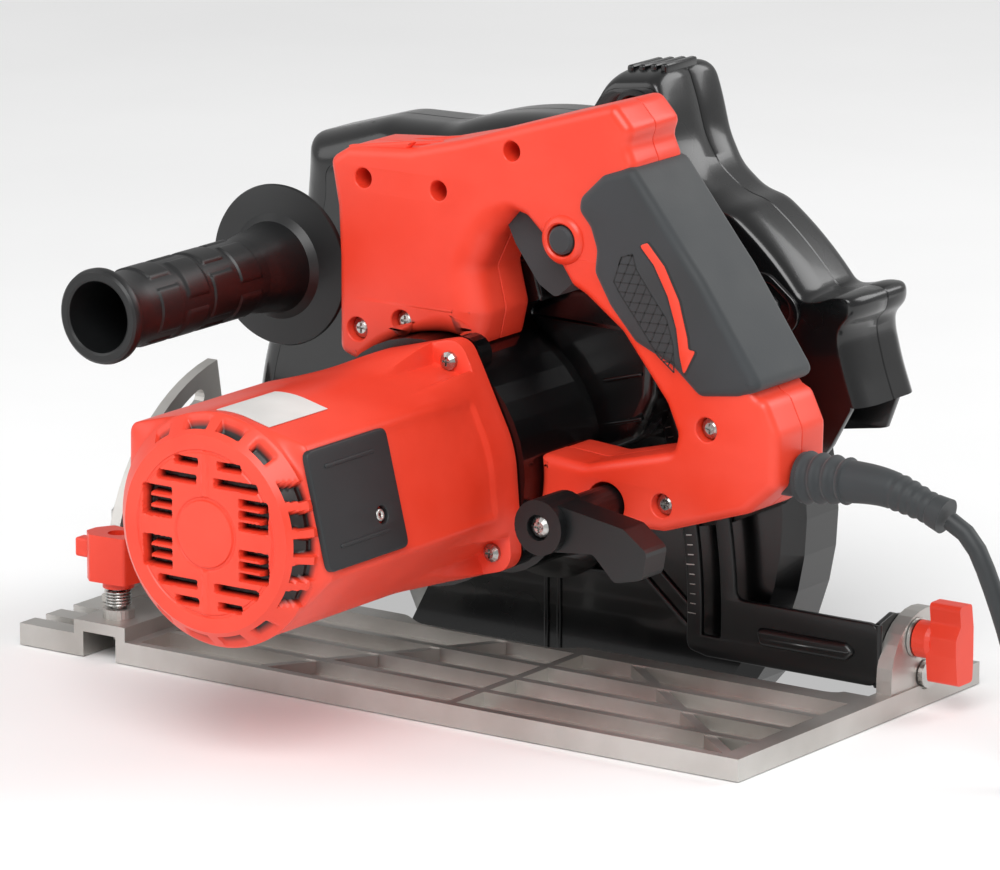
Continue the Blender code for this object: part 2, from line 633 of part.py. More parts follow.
def make_gear_case(depth):
    motor = (MOTOR_X, MOTOR_Z)
    body = turned_mesh([(0, FLANGE_Y - GAP), (MOTOR_RADIUS + 4, FLANGE_Y - GAP),
                        (MOTOR_RADIUS + 4, 2), (MOTOR_RADIUS - 2, UPPER_NEAR + GAP),
                        (0, UPPER_NEAR + GAP)], "Y", (MOTOR_X, 0, MOTOR_Z), 40)
    boss = cylinder("Y", (0, 0, SPINDLE_Z), HUB_RADIUS - 0.1, -38, UPPER_NEAR + 1, 48)
    nest = cylinder("Y", (0, 0, SPINDLE_Z), 29, UPPER_NEAR + 2, 5, 28)
    lobes = [cylinder("Y", (x, 0, z), 8, FLANGE_Y - 9, FLANGE_Y - 2 * GAP, 20)
             for x, z in flange_screw_spots()]
    case = join(body, nest, boss, *lobes)
    cavity = turned_mesh([(0, FLANGE_Y + 1), (42, FLANGE_Y + 1), (42, 5), (10.5, 5), (10.5, -21),
                          (0, -21)], "Y", (MOTOR_X, 0, MOTOR_Z), 32)
    chamber = turned_mesh([(0, 6), (24.5, 6), (24.5, -22), (20.2, -22), (20.2, -37.7), (8.9, -37.7),
                           (8.9, -40), (0, -40)], "Y", (0, 0, SPINDLE_Z), 28)
    case = cut(case, cavity, chamber)
    add_mesh("gear_case", case, "black_shell", depth)
    add_mesh("spindle_bearing", ring("Y", (0, 0, SPINDLE_Z), 19.9, 8.5, -37.4, -25.4), "bright_steel",
             depth)
    disc = cylinder("Y", (*motor[:1], 0, motor[1]), 41.7, 5.3, 14, 40)
    seat = cylinder("Y", (*motor[:1], 0, motor[1]), 20, 13, 25, 32)
    pocket = cylinder("Y", (0, 0, SPINDLE_Z), 11.3, 4, 12.3, 24)
    through = cylinder("Y", (*motor[:1], 0, motor[1]), 8, 0, 30, 24)
    bore = cylinder("Y", (*motor[:1], 0, motor[1]), 16.3, 14.6, 30, 32)
    add_mesh("bearing_plate", cut(join(disc, seat), pocket, through, bore), "cast_aluminium", depth)
    add_mesh("spindle_rear_bearing", ring("Y", (0, 0, SPINDLE_Z), 11, 4.2, 5.1, 12), "bright_steel",
             depth)
    add_mesh("armature_front_bearing", ring("Y", (MOTOR_X, 0, MOTOR_Z), 16, 6.1, 15, 25),
             "bright_steel", depth)


def make_motor(depth, armature):
    centre = (MOTOR_X, 0, MOTOR_Z)
    fan = turned_mesh([(12, 37), (38, 33), (38, 31), (12, 28), (6.1, 28), (6.1, 37)], "Y", centre, 28)
    add_mesh("cooling_fan", fan, "black_nylon", armature)
    add_mesh("armature_core", ring("Y", centre, 26, 6.1, 48, 112, 28), "copper", armature)
    add_mesh("commutator", ring("Y", centre, 14, 6.1, 126, 148, 24), "copper", armature)
    add_mesh("armature_rear_bearing", ring("Y", centre, 11, 4.2, 164.2, 171.2), "bright_steel", depth)
    add_mesh("stator", ring("Y", centre, 43, 27.2, 52, 108, 32), "black_steel", depth)
    for side, word in ((-1, "rear"), (1, "front")):
        near, far = sorted((MOTOR_X + side * 18, MOTOR_X + side * 40))
        holder = box_mesh((near, 129, MOTOR_Z - 8), (far, 145, MOTOR_Z + 8))
        inside = box_mesh((near - 3, 132, MOTOR_Z - 5), (far + 3, 142, MOTOR_Z + 5))
        add_mesh("brush_holder_" + word, cut(holder, inside), "black_nylon", depth)
        near, far = sorted((MOTOR_X + side * 14.4, MOTOR_X + side * 34))
        brush = box_mesh((near, 132.4, MOTOR_Z - 4.6), (far, 141.6, MOTOR_Z + 4.6))
        add_mesh("carbon_brush_" + word, brush, "carbon", depth)


def flange_screw_spots():
    return [(MOTOR_X + 50 * math.cos(math.radians(a)), MOTOR_Z + 50 * math.sin(math.radians(a)))
            for a in (24, 114, 215, 304)]


def vent_cutters():
    """Slots through the end wall: short ones beside the boss, long ones above and below."""
    low, high = MOTOR_END - 12, MOTOR_END + 2
    spans = [(side * 21, side * 33, z) for side in (-1, 1) for z in (-19, -11, -3, 5, 13, 20)]
    spans += [(side * 4, side * 24, z) for side in (-1, 1) for z in (-27, 27)]
    boxes = []
    for a, b, z in spans:
        near, far = sorted((a, b))
        boxes.append(box_mesh((MOTOR_X + near, low, MOTOR_Z + z - 1.6),
                              (MOTOR_X + far, high, MOTOR_Z + z + 1.6)))
    return several(*boxes)


def make_motor_housing(depth):
    radius, wall = MOTOR_RADIUS, MOTOR_WALL
    y0, y1 = FLANGE_Y, MOTOR_END
    centre = (MOTOR_X, 0, MOTOR_Z)
    shell = turned_mesh([(0, y1), (radius - 7, y1), (radius, y1 - 10), (radius, y0 + 7),
                         (radius + 5, y0 + 6), (radius + 5, y0), (0, y0)], "Y", centre, 40)
    lobes = [cylinder("Y", (x, 0, z), 8, y0 + GAP, y0 + 8, 20) for x, z in flange_screw_spots()]
    pads = [box_mesh(*sorted_corners((MOTOR_X + side * (radius + 0.15), COVER[0] - 3, COVER[2] - 3),
                                     (MOTOR_X + side * 28, COVER[1] + 3, COVER[3] + 3)))
            for side in (-1, 1)]
    shell = join(shell, *lobes, *pads)
    inside = turned_mesh([(0, y1 - 3), (radius - 10, y1 - 3), (radius - wall, y1 - 11),
                          (radius - wall, y0 - 1), (0, y0 - 1)], "Y", centre, 40)
    seat = ring("Y", centre, 15, 11.3, 164, y1 - 2, 28)
    shell = join(cut(shell, inside, vent_cutters()), seat)
    holes = [cylinder("Y", (x, 0, z), 2.5, y0 - 1, y0 + 9, 12) for x, z in flange_screw_spots()]
    add_mesh("motor_housing", cut(shell, several(*holes)), "red_shell", depth)
    edge = MOTOR_X - radius - 0.15 - GAP
    cover = box_mesh((edge - 3.4, COVER[0], COVER[2]), (edge, COVER[1], COVER[3]), 1.2)
    screw_y, screw_z = COVER[0] + 17, COVER[2] + 14
    seat_hole = cylinder("X", (0, screw_y, screw_z), 4.2, edge - 5, edge - 1.4, 20)
    add_mesh("brush_cover", cut(cover, seat_hole), "black_nylon", depth)
    head = ring("X", (0, screw_y, screw_z), 3.6, 1.0, edge - 3.2, edge - 1.7, 20)
    add_mesh("brush_cover_screw", head, "bright_steel", depth)
    for word, (x, z) in zip(("upper", "lower"), flange_screw_spots()[1:3]):
        screw = screw_mesh("Y", (x, y0 + 8 + GAP + 3, z), 3.7, 2.1, 10.8, 1)
        add_mesh("flange_screw_" + word, screw, "bright_steel", depth)


def sorted_corners(a, b):
    return tuple(map(min, a, b)), tuple(map(max, a, b))


# ---------------------------------------------------------------- handle

def handle_outline():
    """The D handle seen from the side: front block, top bar, grip and lower arm."""
    return [(59, 208), (50, 213.5), (20, 216), (-6, 222.7), (-40, 233.5), (-77.5, 245),
            (-86.5, 235.5), (-84, 229), (-87.6, 221.3), (-85.9, 218.3), (-116.3, 179.2),
            (-144.1, 137.8), (-148.5, 136.5), (-154.5, 124), (-153.9, 103), (-140, 91), (-100.8, 78.2), (-53.5, 76.5),
            (-30, 84), (-30, 101.0), (-46.7, 101.5), (-64.4, 100.2), (-105.7, 110.9),
            (-107.5, 118.3), (-102.3, 129.9), (-81.6, 155.3), (-64.2, 167.7), (-58, 170.5),
            (-47, 186), (-36, 196), (-29.5, 197.2), (-17.5, 183.8), (-10.8, 170.1),
            (-15, 153.6), (-10, 132), (30, 122), (54.5, 130), (54.5, 168), (55.4, 189)]


def handle_space():
    """The hollow for switch and wiring, with a duct down to the lead."""
    return [(-40, 209), (-74, 226), (-81, 216), (-112, 178), (-138, 138), (-147, 120),
            (-146, 107), (-134, 107), (-131, 120), (-127, 133), (-112, 135), (-90, 158),
            (-71, 173), (-62, 190), (-46, 203)]


def trigger_outline():
    return [(-20, 194), (-26, 182), (-37, 167.5), (-45, 163), (-57, 173), (-60, 184), (-46, 199),
            (-31, 204)]


def handle_half(low, high, space_low, space_high):
    """One half shell between two Y values, hollowed between two more."""
    shell = sheet_mesh([rounded(handle_outline(), 6, 2), circle((CLAMP_X, CLAMP_Z), 4.6, 16)],
                       "XZ", low, high)
    hollow = sheet_mesh([handle_space()], "XZ", space_low, space_high)
    slot = sheet_mesh([[(-12, 200), (-38, 158), (-68, 168), (-68, 186), (-46, 206), (-28, 208)]],
                      "XZ", HANDLE_MID - 9.7, HANDLE_MID + 9.7)
    lead = cylinder("X", (0, HANDLE_MID, 104.5), 8.6, -160, -138, 24)
    motor = cylinder("Y", (MOTOR_X, 0, MOTOR_Z), MOTOR_RADIUS + 4 + GAP, -40, 60, 48)
    return cut(shell, hollow, slot, lead, motor)


def make_handle(depth, trigger, lock):
    left = handle_half(HANDLE_MID + GAP / 2, HANDLE_NEAR, HANDLE_MID - 1, HANDLE_NEAR - HANDLE_WALL)
    screws = [(44.8, 140.4), (23.2, 146.0), (-121.9, 122.2), (-101.2, 89.1)]
    sinks = [cylinder("Y", (x, 0, z), 4.8, HANDLE_NEAR - 6, HANDLE_NEAR + 2, 20) for x, z in screws]
    sinks += [cylinder("Y", (x, 0, z), 4.0, HANDLE_NEAR - 12, HANDLE_NEAR + 2, 20)
              for x, z in ((41.6, 201.9), (5.1, 201.1), (-30.0, 221.0))]
    sinks.append(cylinder("Y", (LOCK_X, 0, LOCK_Z), 6.0, HANDLE_NEAR - 12, HANDLE_NEAR + 2, 24))
    sinks.append(cylinder("Y", (CLAMP_X, 0, CLAMP_Z), 8.6, HANDLE_NEAR - 7, HANDLE_NEAR + 2, 24))
    add_mesh("handle_shell_left", cut(left, several(*sinks)), "red_shell", depth)
    right = handle_half(HANDLE_FAR, HANDLE_MID - GAP / 2, HANDLE_FAR + HANDLE_WALL, HANDLE_MID + 1)
    front_foot = box_mesh((14, UPPER_NEAR + GAP, 152), (56, HANDLE_FAR + 2, 204))
    top_foot = box_mesh((-60, UPPER_NEAR + GAP, 212), (-20, HANDLE_FAR + 2, 224))
    add_mesh("handle_shell_right", join(right, front_foot, top_foot), "red_shell", depth)
    for k, (x, z) in enumerate(screws):
        screw = screw_mesh("Y", (x, HANDLE_NEAR - 2.6, z), 4.2, 2.0, 3.2, 1, 2.6)
        add_mesh(f"handle_screw_{k + 1}", screw, "bright_steel", depth)
    grip = rounded([(-73, 213.5), (-89.3, 218.2), (-118.7, 181), (-145, 141.9), (-137, 133),
                    (-116, 128), (-97, 148), (-76, 176), (-68, 198)], 4, 3)
    core = [(-86.2, 219.2), (-116.6, 179.4), (-144.4, 138), (-140, 120), (-60, 120), (-20, 200),
            (-50, 240)]
    cover = cut(sheet_mesh([grip], "XZ", HANDLE_FAR - 2.3, HANDLE_NEAR + 2.3),
                sheet_mesh([core], "XZ", HANDLE_FAR - GAP, HANDLE_NEAR + GAP))
    add_mesh("grip_cover", cover, "grey_rubber", depth)
    switch = sheet_mesh([[(-76, 180), (-90, 196), (-108, 172), (-94, 161)]], "XZ",
                        HANDLE_FAR + HANDLE_WALL + GAP, HANDLE_NEAR - HANDLE_WALL - GAP)
    add_mesh("switch", switch, "black_nylon", depth)
    blade = sheet_mesh([rounded(trigger_outline(), 3, 3)], "XZ", HANDLE_MID - 9, HANDLE_MID + 9)
    add_mesh("trigger", blade, "grey_rubber", trigger)
    button = turned_mesh([(0, HANDLE_NEAR + 2.4), (4.6, HANDLE_NEAR + 2.4), (5.6, HANDLE_NEAR + 1.4),
                          (5.6, HANDLE_NEAR - 5.4), (0, HANDLE_NEAR - 5.4)], "Y",
                         (LOCK_X, 0, LOCK_Z), 24)
    add_mesh("lock_off_button", button, "grey_rubber", lock)


def make_depth_lever(depth, lever):
    hub = cylinder("Y", (CLAMP_X, 0, CLAMP_Z), 11, LEVER_Y, LEVER_Y + 20, 28)
    neck = cylinder("Y", (CLAMP_X, 0, CLAMP_Z), 7.5, HANDLE_NEAR - 6, LEVER_Y + 1, 24)
    arm = sheet_mesh([rounded([(CLAMP_X, CLAMP_Z + 10), (-112, 90), (-123, 82), (-121, 71),
                               (-108, 68), (-98, 78), (CLAMP_X - 3, CLAMP_Z - 10)], 3, 2)],
                     "XZ", LEVER_Y + 2, LEVER_Y + 16)
    socket = cylinder("Y", (CLAMP_X, 0, CLAMP_Z), 4.3, HANDLE_NEAR - 8, LEVER_Y + 13, 20)
    dish = cylinder("Y", (CLAMP_X, 0, CLAMP_Z), 5.2, LEVER_Y + 16.4, LEVER_Y + 21, 20)
    body = cut(join(hub, neck, arm), socket, dish)
    add_mesh("depth_lever", body, "black_nylon", lever)
    inside = UPPER_NEAR - UPPER_WALL - GAP
    bolt = turned_mesh([(0, LEVER_Y + 12), (4, LEVER_Y + 12), (4, inside), (7, inside),
                        (7, inside - 2.2), (0, inside - 2.2)], "Y", (CLAMP_X, 0, CLAMP_Z), 20)
    washer = cylinder("Y", (CLAMP_X, 0, CLAMP_Z), 9, BRACKET_Y + GAP, BRACKET_Y + 2.5, 24)
    add_mesh("depth_bolt", join(bolt, washer), "bright_steel", depth)
    screw = screw_mesh("Y", (CLAMP_X, LEVER_Y + 19.4, CLAMP_Z), 4.2, 2.0, 2.7, 1, 2.5)
    add_mesh("lever_screw", screw, "bright_steel", lever)


def make_aux_handle(depth):
    y0, y1 = AUX_START, AUX_END
    grip = turned_mesh([(0, y0 + 16), (14, y0 + 20), (14, y1), (19, y1), (19, y1 - 4),
                        (15.5, y1 - 12), (15.5, y0 + 40), (17, y0 + 28), (20, y0 + 12),
                        (32, y0 + 3), (32, y0), (4.1, y0), (4.1, UPPER_NEAR - 10),
                        (0, UPPER_NEAR - 10)], "Y", (AUX_X, 0, AUX_Z), 28)
    add_mesh("side_handle", grip, "black_nylon", depth)


# ---------------------------------------------------------------- cord

def smooth_points(route, spacing):
    """Evenly spread points on a Catmull-Rom curve through the route."""
    p = np.array(route, float)
    p = np.vstack([2 * p[0] - p[1], p, 2 * p[-1] - p[-2]])
    fine = []
    for k in range(1, len(p) - 2):
        a, b, c, d = p[k - 1:k + 3]
        for t in np.linspace(0, 1, 24, endpoint=False):
            fine.append(0.5 * (2 * b + (c - a) * t + (2 * a - 5 * b + 4 * c - d) * t ** 2
                               + (3 * b - a - 3 * c + d) * t ** 3))
    fine = np.array(fine + [p[-2]])
    run = np.concatenate([[0], np.cumsum(np.linalg.norm(np.diff(fine, axis=0), axis=1))])
    count = max(2, int(round(run[-1] / spacing)) + 1)
    at = np.linspace(0, run[-1], count)
    return np.stack([np.interp(at, run, fine[:, k]) for k in range(3)], 1)


def tube_mesh(points, radius, resolution=3):
    curve = bpy.data.curves.new("tube", "CURVE")
    curve.dimensions = "3D"
    curve.bevel_depth = radius * MM
    curve.bevel_resolution = resolution
    curve.use_fill_caps = True
    spline = curve.splines.new("POLY")
    spline.points.add(len(points) - 1)
    for spot, point in zip(spline.points, points):
        spot.co = (*(Vector(point) * MM), 1)
    obj = bpy.data.objects.new("tube", curve)
    bpy.context.scene.collection.objects.link(obj)
    bpy.context.view_layer.update()
    return baked(obj)


def make_cord(depth):
    sleeve_path = smooth_points([(-140, HANDLE_MID, 104.5), (-148, HANDLE_MID, 104.5),
                                 (-157, HANDLE_MID, 104.8), (-175, HANDLE_MID, 106),
                                 (-195, HANDLE_MID, 105.5), (-220, HANDLE_MID, 98.5)], 5)
    along = np.array(sleeve_path)[:, 0]
    rings = np.interp(along, (-220, -213, -158.6, -158, -140), (7.4, 6.4, 9.8, 8.0, 8.0))
    add_mesh("strain_relief", swept_mesh(sleeve_path, rings, 12), "grey_rubber", depth)
    points = smooth_points(CORD_ROUTE, CORD_DIAMETER * 1.6)
    add_mesh("cord", tube_mesh(points, CORD_DIAMETER / 2), "grey_rubber", depth)
    x, y = COIL_CENTRE
    coil = turned_mesh([(COIL_OUTER - 4, COIL_HEIGHT), (COIL_OUTER, COIL_HEIGHT - 6), (COIL_OUTER, 4),
                        (COIL_OUTER - 4, 0.1), (COIL_INNER + 3, 0.1), (COIL_INNER, 4),
                        (COIL_INNER, COIL_HEIGHT - 6), (COIL_INNER + 3, COIL_HEIGHT)], "Z",
                       (x, y, 0), 36)
    add_mesh("cord_coil", coil, "grey_rubber", depth)
    plug_y = y + 76
    body = box_mesh((x - 34, plug_y - 18, 0.1), (x + 4, plug_y + 18, 24), 5)
    pins = [cylinder("X", (0, plug_y + side * 9.5, 12), 2.4, x - 53, x - 33, 16) for side in (-1, 1)]
    tail = turned_mesh([(0, 26), (4.5, 26), (7, 3), (0, 3)], "X", (x, plug_y, 12), 16)
    add_mesh("mains_plug", join(body, *pins, tail), "black_nylon", depth)


def swept_mesh(path, radii, sides):
    """A tapered tube: circles of the given radii set square to the path and skinned."""
    path = np.asarray(path, float)
    ahead = np.gradient(path, axis=0)
    ahead /= np.linalg.norm(ahead, axis=1)[:, None]
    across = np.cross(ahead, (0, 1, 0))
    across /= np.linalg.norm(across, axis=1)[:, None]
    up = np.cross(across, ahead)
    turn = np.linspace(0, 2 * math.pi, sides, endpoint=False)
    bm = bmesh.new()
    loops = []
    for spot, a, b, radius in zip(path, across, up, radii):
        loop = [bm.verts.new(Vector(spot + radius * (math.cos(t) * a + math.sin(t) * b)) * MM)
                for t in turn]
        loops.append(loop)
    for one, two in zip(loops, loops[1:]):
        for k in range(sides):
            j = (k + 1) % sides
            bm.faces.new((one[k], one[j], two[j], two[k]))
    bm.faces.new(loops[0])
    bm.faces.new(loops[-1][::-1])
    return finish_bmesh(bm, "swept")


# ---------------------------------------------------------------- the whole saw

clear_scene()
saw = new_collection("circular_saw")
cutters = new_collection("cutters")

bevel_axis = axis_empty("bevel_axis", 0, BEVEL_Y, BEVEL_Z)
depth_axis = axis_empty("depth_axis", DEPTH_X, UPPER_NEAR, DEPTH_Z)
spindle_axis = axis_empty("spindle_axis", 0, 0, SPINDLE_Z)
guard_axis = axis_empty("guard_axis", 0, BLADE_Y, SPINDLE_Z)
armature_axis = axis_empty("armature_axis", MOTOR_X, 0, MOTOR_Z)
trigger_axis = axis_empty("trigger_axis", -31, HANDLE_MID, 199)
lock_axis = axis_empty("lock_axis", LOCK_X, HANDLE_NEAR, LOCK_Z)
lever_axis = axis_empty("lever_axis", CLAMP_X, LEVER_Y, CLAMP_Z)
fence_axis = axis_empty("fence_axis", CHANNEL_X, FENCE_Y, 0)
knob_axis = axis_empty("knob_axis", EAR_X, *bolt_spot(BEVEL_BOLT_ANGLE, BEVEL_BOLT_RADIUS))

make_sole()
make_quadrant()
make_fence_clamp(fence_axis)
make_rear_bracket(bevel_axis)
make_front_bracket(bevel_axis)
make_bevel_knob(bevel_axis, knob_axis)
make_upper_guard(depth_axis)
make_lower_guard(guard_axis)
make_blade_group(spindle_axis)
make_gears(spindle_axis, armature_axis)
make_gear_case(depth_axis)
make_motor(depth_axis, armature_axis)
make_motor_housing(depth_axis)
make_handle(depth_axis, trigger_axis, lock_axis)
make_depth_lever(depth_axis, lever_axis)
make_aux_handle(depth_axis)
make_cord(depth_axis)
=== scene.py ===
import math

import bmesh
import bpy
import numpy as np
from mathutils import Matrix, Vector
from mathutils.geometry import tessellate_polygon


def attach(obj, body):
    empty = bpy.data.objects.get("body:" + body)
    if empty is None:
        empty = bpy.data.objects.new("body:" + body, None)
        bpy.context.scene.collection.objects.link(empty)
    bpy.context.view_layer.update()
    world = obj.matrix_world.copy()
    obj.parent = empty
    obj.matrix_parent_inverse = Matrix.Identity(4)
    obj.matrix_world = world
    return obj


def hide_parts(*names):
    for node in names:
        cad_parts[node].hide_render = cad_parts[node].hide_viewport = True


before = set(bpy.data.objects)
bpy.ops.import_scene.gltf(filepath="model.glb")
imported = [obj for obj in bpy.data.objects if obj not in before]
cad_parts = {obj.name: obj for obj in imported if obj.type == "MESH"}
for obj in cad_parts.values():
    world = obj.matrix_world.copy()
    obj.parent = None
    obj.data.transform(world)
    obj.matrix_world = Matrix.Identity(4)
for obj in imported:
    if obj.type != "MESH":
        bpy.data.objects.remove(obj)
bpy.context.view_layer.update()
mm = 0.001


# helpers: colour, nodes, surfaces

def hexColour(code):
    # sRGB hex turned to linear light: c/12.92 when small, else ((c+0.055)/1.055)^2.4.
    parts = [int(code[k:k + 2], 16) / 255 for k in (1, 3, 5)]
    return tuple(c / 12.92 if c <= 0.04045 else ((c + 0.055) / 1.055) ** 2.4 for c in parts) + (1.0,)


def addNode(tree, kind, links=None, **settings):
    # adds one node; settings are its attributes or inputs, links are socket -> source socket.
    node = tree.nodes.new(kind)
    for key, value in settings.items():
        if hasattr(node, key):
            setattr(node, key, value)
        else:
            node.inputs[key.replace("_", " ")].default_value = value
    for key, source in (links or {}).items():
        tree.links.new(source, node.inputs[key])
    return node


def startMaterial(name, roughness, metallic=0.0, ior=1.5, coat=0.0, coatRoughness=0.1, sheen=0.0):
    made = bpy.data.materials.new(name)
    made.use_nodes = True
    tree = made.node_tree
    shader = tree.nodes["Principled BSDF"]
    shader.inputs["Roughness"].default_value = roughness
    shader.inputs["Metallic"].default_value = metallic
    if metallic < 0.5:
        shader.inputs["IOR"].default_value = ior
    shader.inputs["Coat Weight"].default_value = coat
    shader.inputs["Coat Roughness"].default_value = coatRoughness
    shader.inputs["Sheen Weight"].default_value = sheen
    place = addNode(tree, "ShaderNodeTexCoord").outputs["Object"]
    return made, tree, shader, place


def mottled(tree, place, low, high, scale, detail=4.0, spread=(0.35, 0.65)):
    # colour that wanders between two shades over a noise.
    noise = addNode(tree, "ShaderNodeTexNoise", {"Vector": place}, Scale=scale, Detail=detail)
    ramp = addNode(tree, "ShaderNodeValToRGB", {"Fac": noise.outputs["Fac"]})
    ramp.color_ramp.elements[0].position, ramp.color_ramp.elements[1].position = spread
    ramp.color_ramp.elements[0].color = hexColour(low)
    ramp.color_ramp.elements[1].color = hexColour(high)
    return ramp.outputs["Color"], noise.outputs["Fac"]


def roughOver(tree, shader, fac, low, high):
    span = addNode(tree, "ShaderNodeMapRange", {"Value": fac}, From_Min=0.3, From_Max=0.7,
                   To_Min=low, To_Max=high)
    tree.links.new(span.outputs["Result"], shader.inputs["Roughness"])


def bumped(tree, shader, height, strength, distance):
    bump = addNode(tree, "ShaderNodeBump", {"Height": height}, Strength=strength, Distance=distance)
    tree.links.new(bump.outputs["Normal"], shader.inputs["Normal"])


def mouldedPlastic(name, low, high, roughness, grain=0.35, coat=0.0, strength=0.12):
    # injection-moulded plastic with a fine spark-eroded grain: a satin, even sheen.
    made, tree, shader, place = startMaterial(name, roughness, ior=1.5, coat=coat)
    colour, fac = mottled(tree, place, low, high, 22.0)
    tree.links.new(colour, shader.inputs["Base Color"])
    roughOver(tree, shader, fac, roughness - 0.05, roughness + 0.06)
    pits = addNode(tree, "ShaderNodeTexNoise", {"Vector": place}, Scale=1 / (grain * mm * 2), Detail=2.0)
    bumped(tree, shader, pits.outputs["Fac"], strength, 0.0001)
    return made


def paintedCasting(name, low, high, roughness, coat):
    # gloss paint over a casting: a faint orange peel of about 1.5 mm under a clear gloss.
    made, tree, shader, place = startMaterial(name, roughness, ior=1.5, coat=coat, coatRoughness=0.08)
    colour, fac = mottled(tree, place, low, high, 14.0)
    tree.links.new(colour, shader.inputs["Base Color"])
    roughOver(tree, shader, fac, roughness - 0.04, roughness + 0.05)
    peel = addNode(tree, "ShaderNodeTexNoise", {"Vector": place}, Scale=600.0, Detail=2.0)
    bumped(tree, shader, peel.outputs["Fac"], 0.10, 0.00012)
    return made


def castAluminium(name):
    # pressure-cast aluminium, lightly blasted: a matt pale grey with a soft sparkle.
    made, tree, shader, place = startMaterial(name, 0.42, metallic=0.85)
    colour, fac = mottled(tree, place, "#B4B1AC", "#CFCDC9", 18.0, detail=6.0)
    tree.links.new(colour, shader.inputs["Base Color"])
    roughOver(tree, shader, fac, 0.36, 0.5)
    grit = addNode(tree, "ShaderNodeTexNoise", {"Vector": place}, Scale=1500.0, Detail=3.0)
    bumped(tree, shader, grit.outputs["Fac"], 0.18, 0.0001)
    return made


def platedSteel(name, low="#A9A9A6", high="#D2D1CE", roughness=0.28):
    # zinc-plated steel: bright with a slight cloudiness and turning marks 0.4 mm apart.
    made, tree, shader, place = startMaterial(name, roughness, metallic=1.0)
    colour, fac = mottled(tree, place, low, high, 90.0)
    tree.links.new(colour, shader.inputs["Base Color"])
    roughOver(tree, shader, fac, roughness - 0.06, roughness + 0.1)
    marks = addNode(tree, "ShaderNodeTexNoise", {"Vector": place}, Scale=2500.0, Detail=1.0)
    bumped(tree, shader, marks.outputs["Fac"], 0.06, 0.00005)
    return made


def softRubber(name, low, high, roughness=0.62, grain=0.5):
    # overmoulded soft rubber: matt, with a fine leathery grain and a trace of sheen.
    made, tree, shader, place = startMaterial(name, roughness, ior=1.52, sheen=0.15)
    colour, fac = mottled(tree, place, low, high, 30.0)
    tree.links.new(colour, shader.inputs["Base Color"])
    roughOver(tree, shader, fac, roughness - 0.06, roughness + 0.08)
    cells = addNode(tree, "ShaderNodeTexVoronoi", {"Vector": place}, Scale=1 / (grain * mm * 2))
    bumped(tree, shader, cells.outputs["Distance"], 0.15, 0.0001)
    return made


def windings(name):
    # lacquered copper wire: warm brown, in turns 0.8 mm apart.
    made, tree, shader, place = startMaterial(name, 0.35, metallic=0.9)
    colour = mottled(tree, place, "#8A4B26", "#B8703C", 60.0)[0]
    tree.links.new(colour, shader.inputs["Base Color"])
    wave = addNode(tree, "ShaderNodeTexWave", {"Vector": place}, Scale=200.0, bands_direction="Y")
    bumped(tree, shader, wave.outputs["Fac"], 0.4, 0.0003)
    return made


finishes = {
    "redShell": mouldedPlastic("satinRedNylon", "#E23A22", "#EC4630", 0.38, strength=0.08),
    "blackGloss": paintedCasting("glossBlackPaint", "#050506", "#08090A", 0.24, 0.25),
    "blackNylon": mouldedPlastic("mouldedBlackNylon", "#0B0C0D", "#101112", 0.4),
    "greyRubber": softRubber("greyGripRubber", "#24282A", "#2B2F32"),
    "cordRubber": softRubber("blackFlexRubber", "#1C1F21", "#24282A", 0.5, 0.4),
    "castAluminium": castAluminium("blastedCastAluminium"),
    "blackSteel": mouldedPlastic("blackCoatedSheetSteel", "#08090A", "#0E0F10", 0.3, strength=0.06),
    "zincSteel": platedSteel("zincPlatedSteel"),
    "bladeSteel": platedSteel("groundBladeSteel", "#9C9C9A", "#BDBCB9", 0.33),
    "copper": windings("lacqueredCopper"),
    "carbon": mouldedPlastic("pressedCarbon", "#1B1B1B", "#262626", 0.6),
}


def makeMesh(name, points, faces, finish, smooth=35):
    # A mesh object from whole arrays, in metres, with its material.
    mesh = bpy.data.meshes.new(name)
    mesh.from_pydata([tuple(p) for p in np.asarray(points, float).tolist()], [], faces)
    mesh.update()
    mesh.shade_smooth()
    mesh.set_sharp_from_angle(angle=math.radians(smooth))
    mesh.materials.append(finishes[finish])
    obj = bpy.data.objects.new(name, mesh)
    bpy.context.scene.collection.objects.link(obj)
    return obj


def gridFaces(rows, columns, closeColumns=True, closeRows=False, offset=0):
    # quads between neighbouring rows and columns of a grid numbered row by row.
    r = np.arange(rows if closeRows else rows - 1)
    c = np.arange(columns if closeColumns else columns - 1)
    a, b = np.meshgrid(r, c, indexing="ij")
    nextRow, nextColumn = (a + 1) % rows, (b + 1) % columns
    quads = np.stack([a * columns + b, a * columns + nextColumn, nextRow * columns + nextColumn,
                      nextRow * columns + b], -1).reshape(-1, 4) + offset
    return quads.tolist()


def turned(profile, centre, axis, sides=96, shape=None):
    # A profile of (radius, height) carried round an axis: point = centre + r (cos a, sin a) + h axis.
    # shape, if given, is a function of (angle, radius, height) that returns new radius and height.
    profile = np.asarray(profile, float)
    angle = np.linspace(0, 2 * math.pi, sides, endpoint=False)
    r = np.repeat(profile[:, :1], sides, 1)
    h = np.repeat(profile[:, 1:], sides, 1)
    a = np.repeat(angle[None], len(profile), 0)
    if shape:
        r, h = shape(a, r, h)
    u, v = r * np.cos(a), r * np.sin(a)
    if axis == "Y":
        points = np.stack([centre[0] + u, centre[1] + h, centre[2] - v], -1)
    elif axis == "X":
        points = np.stack([centre[0] + h, centre[1] + u, centre[2] + v], -1)
    else:
        points = np.stack([centre[0] + u, centre[1] + v, centre[2] + h], -1)
    return points.reshape(-1, 3) * mm, len(profile), sides


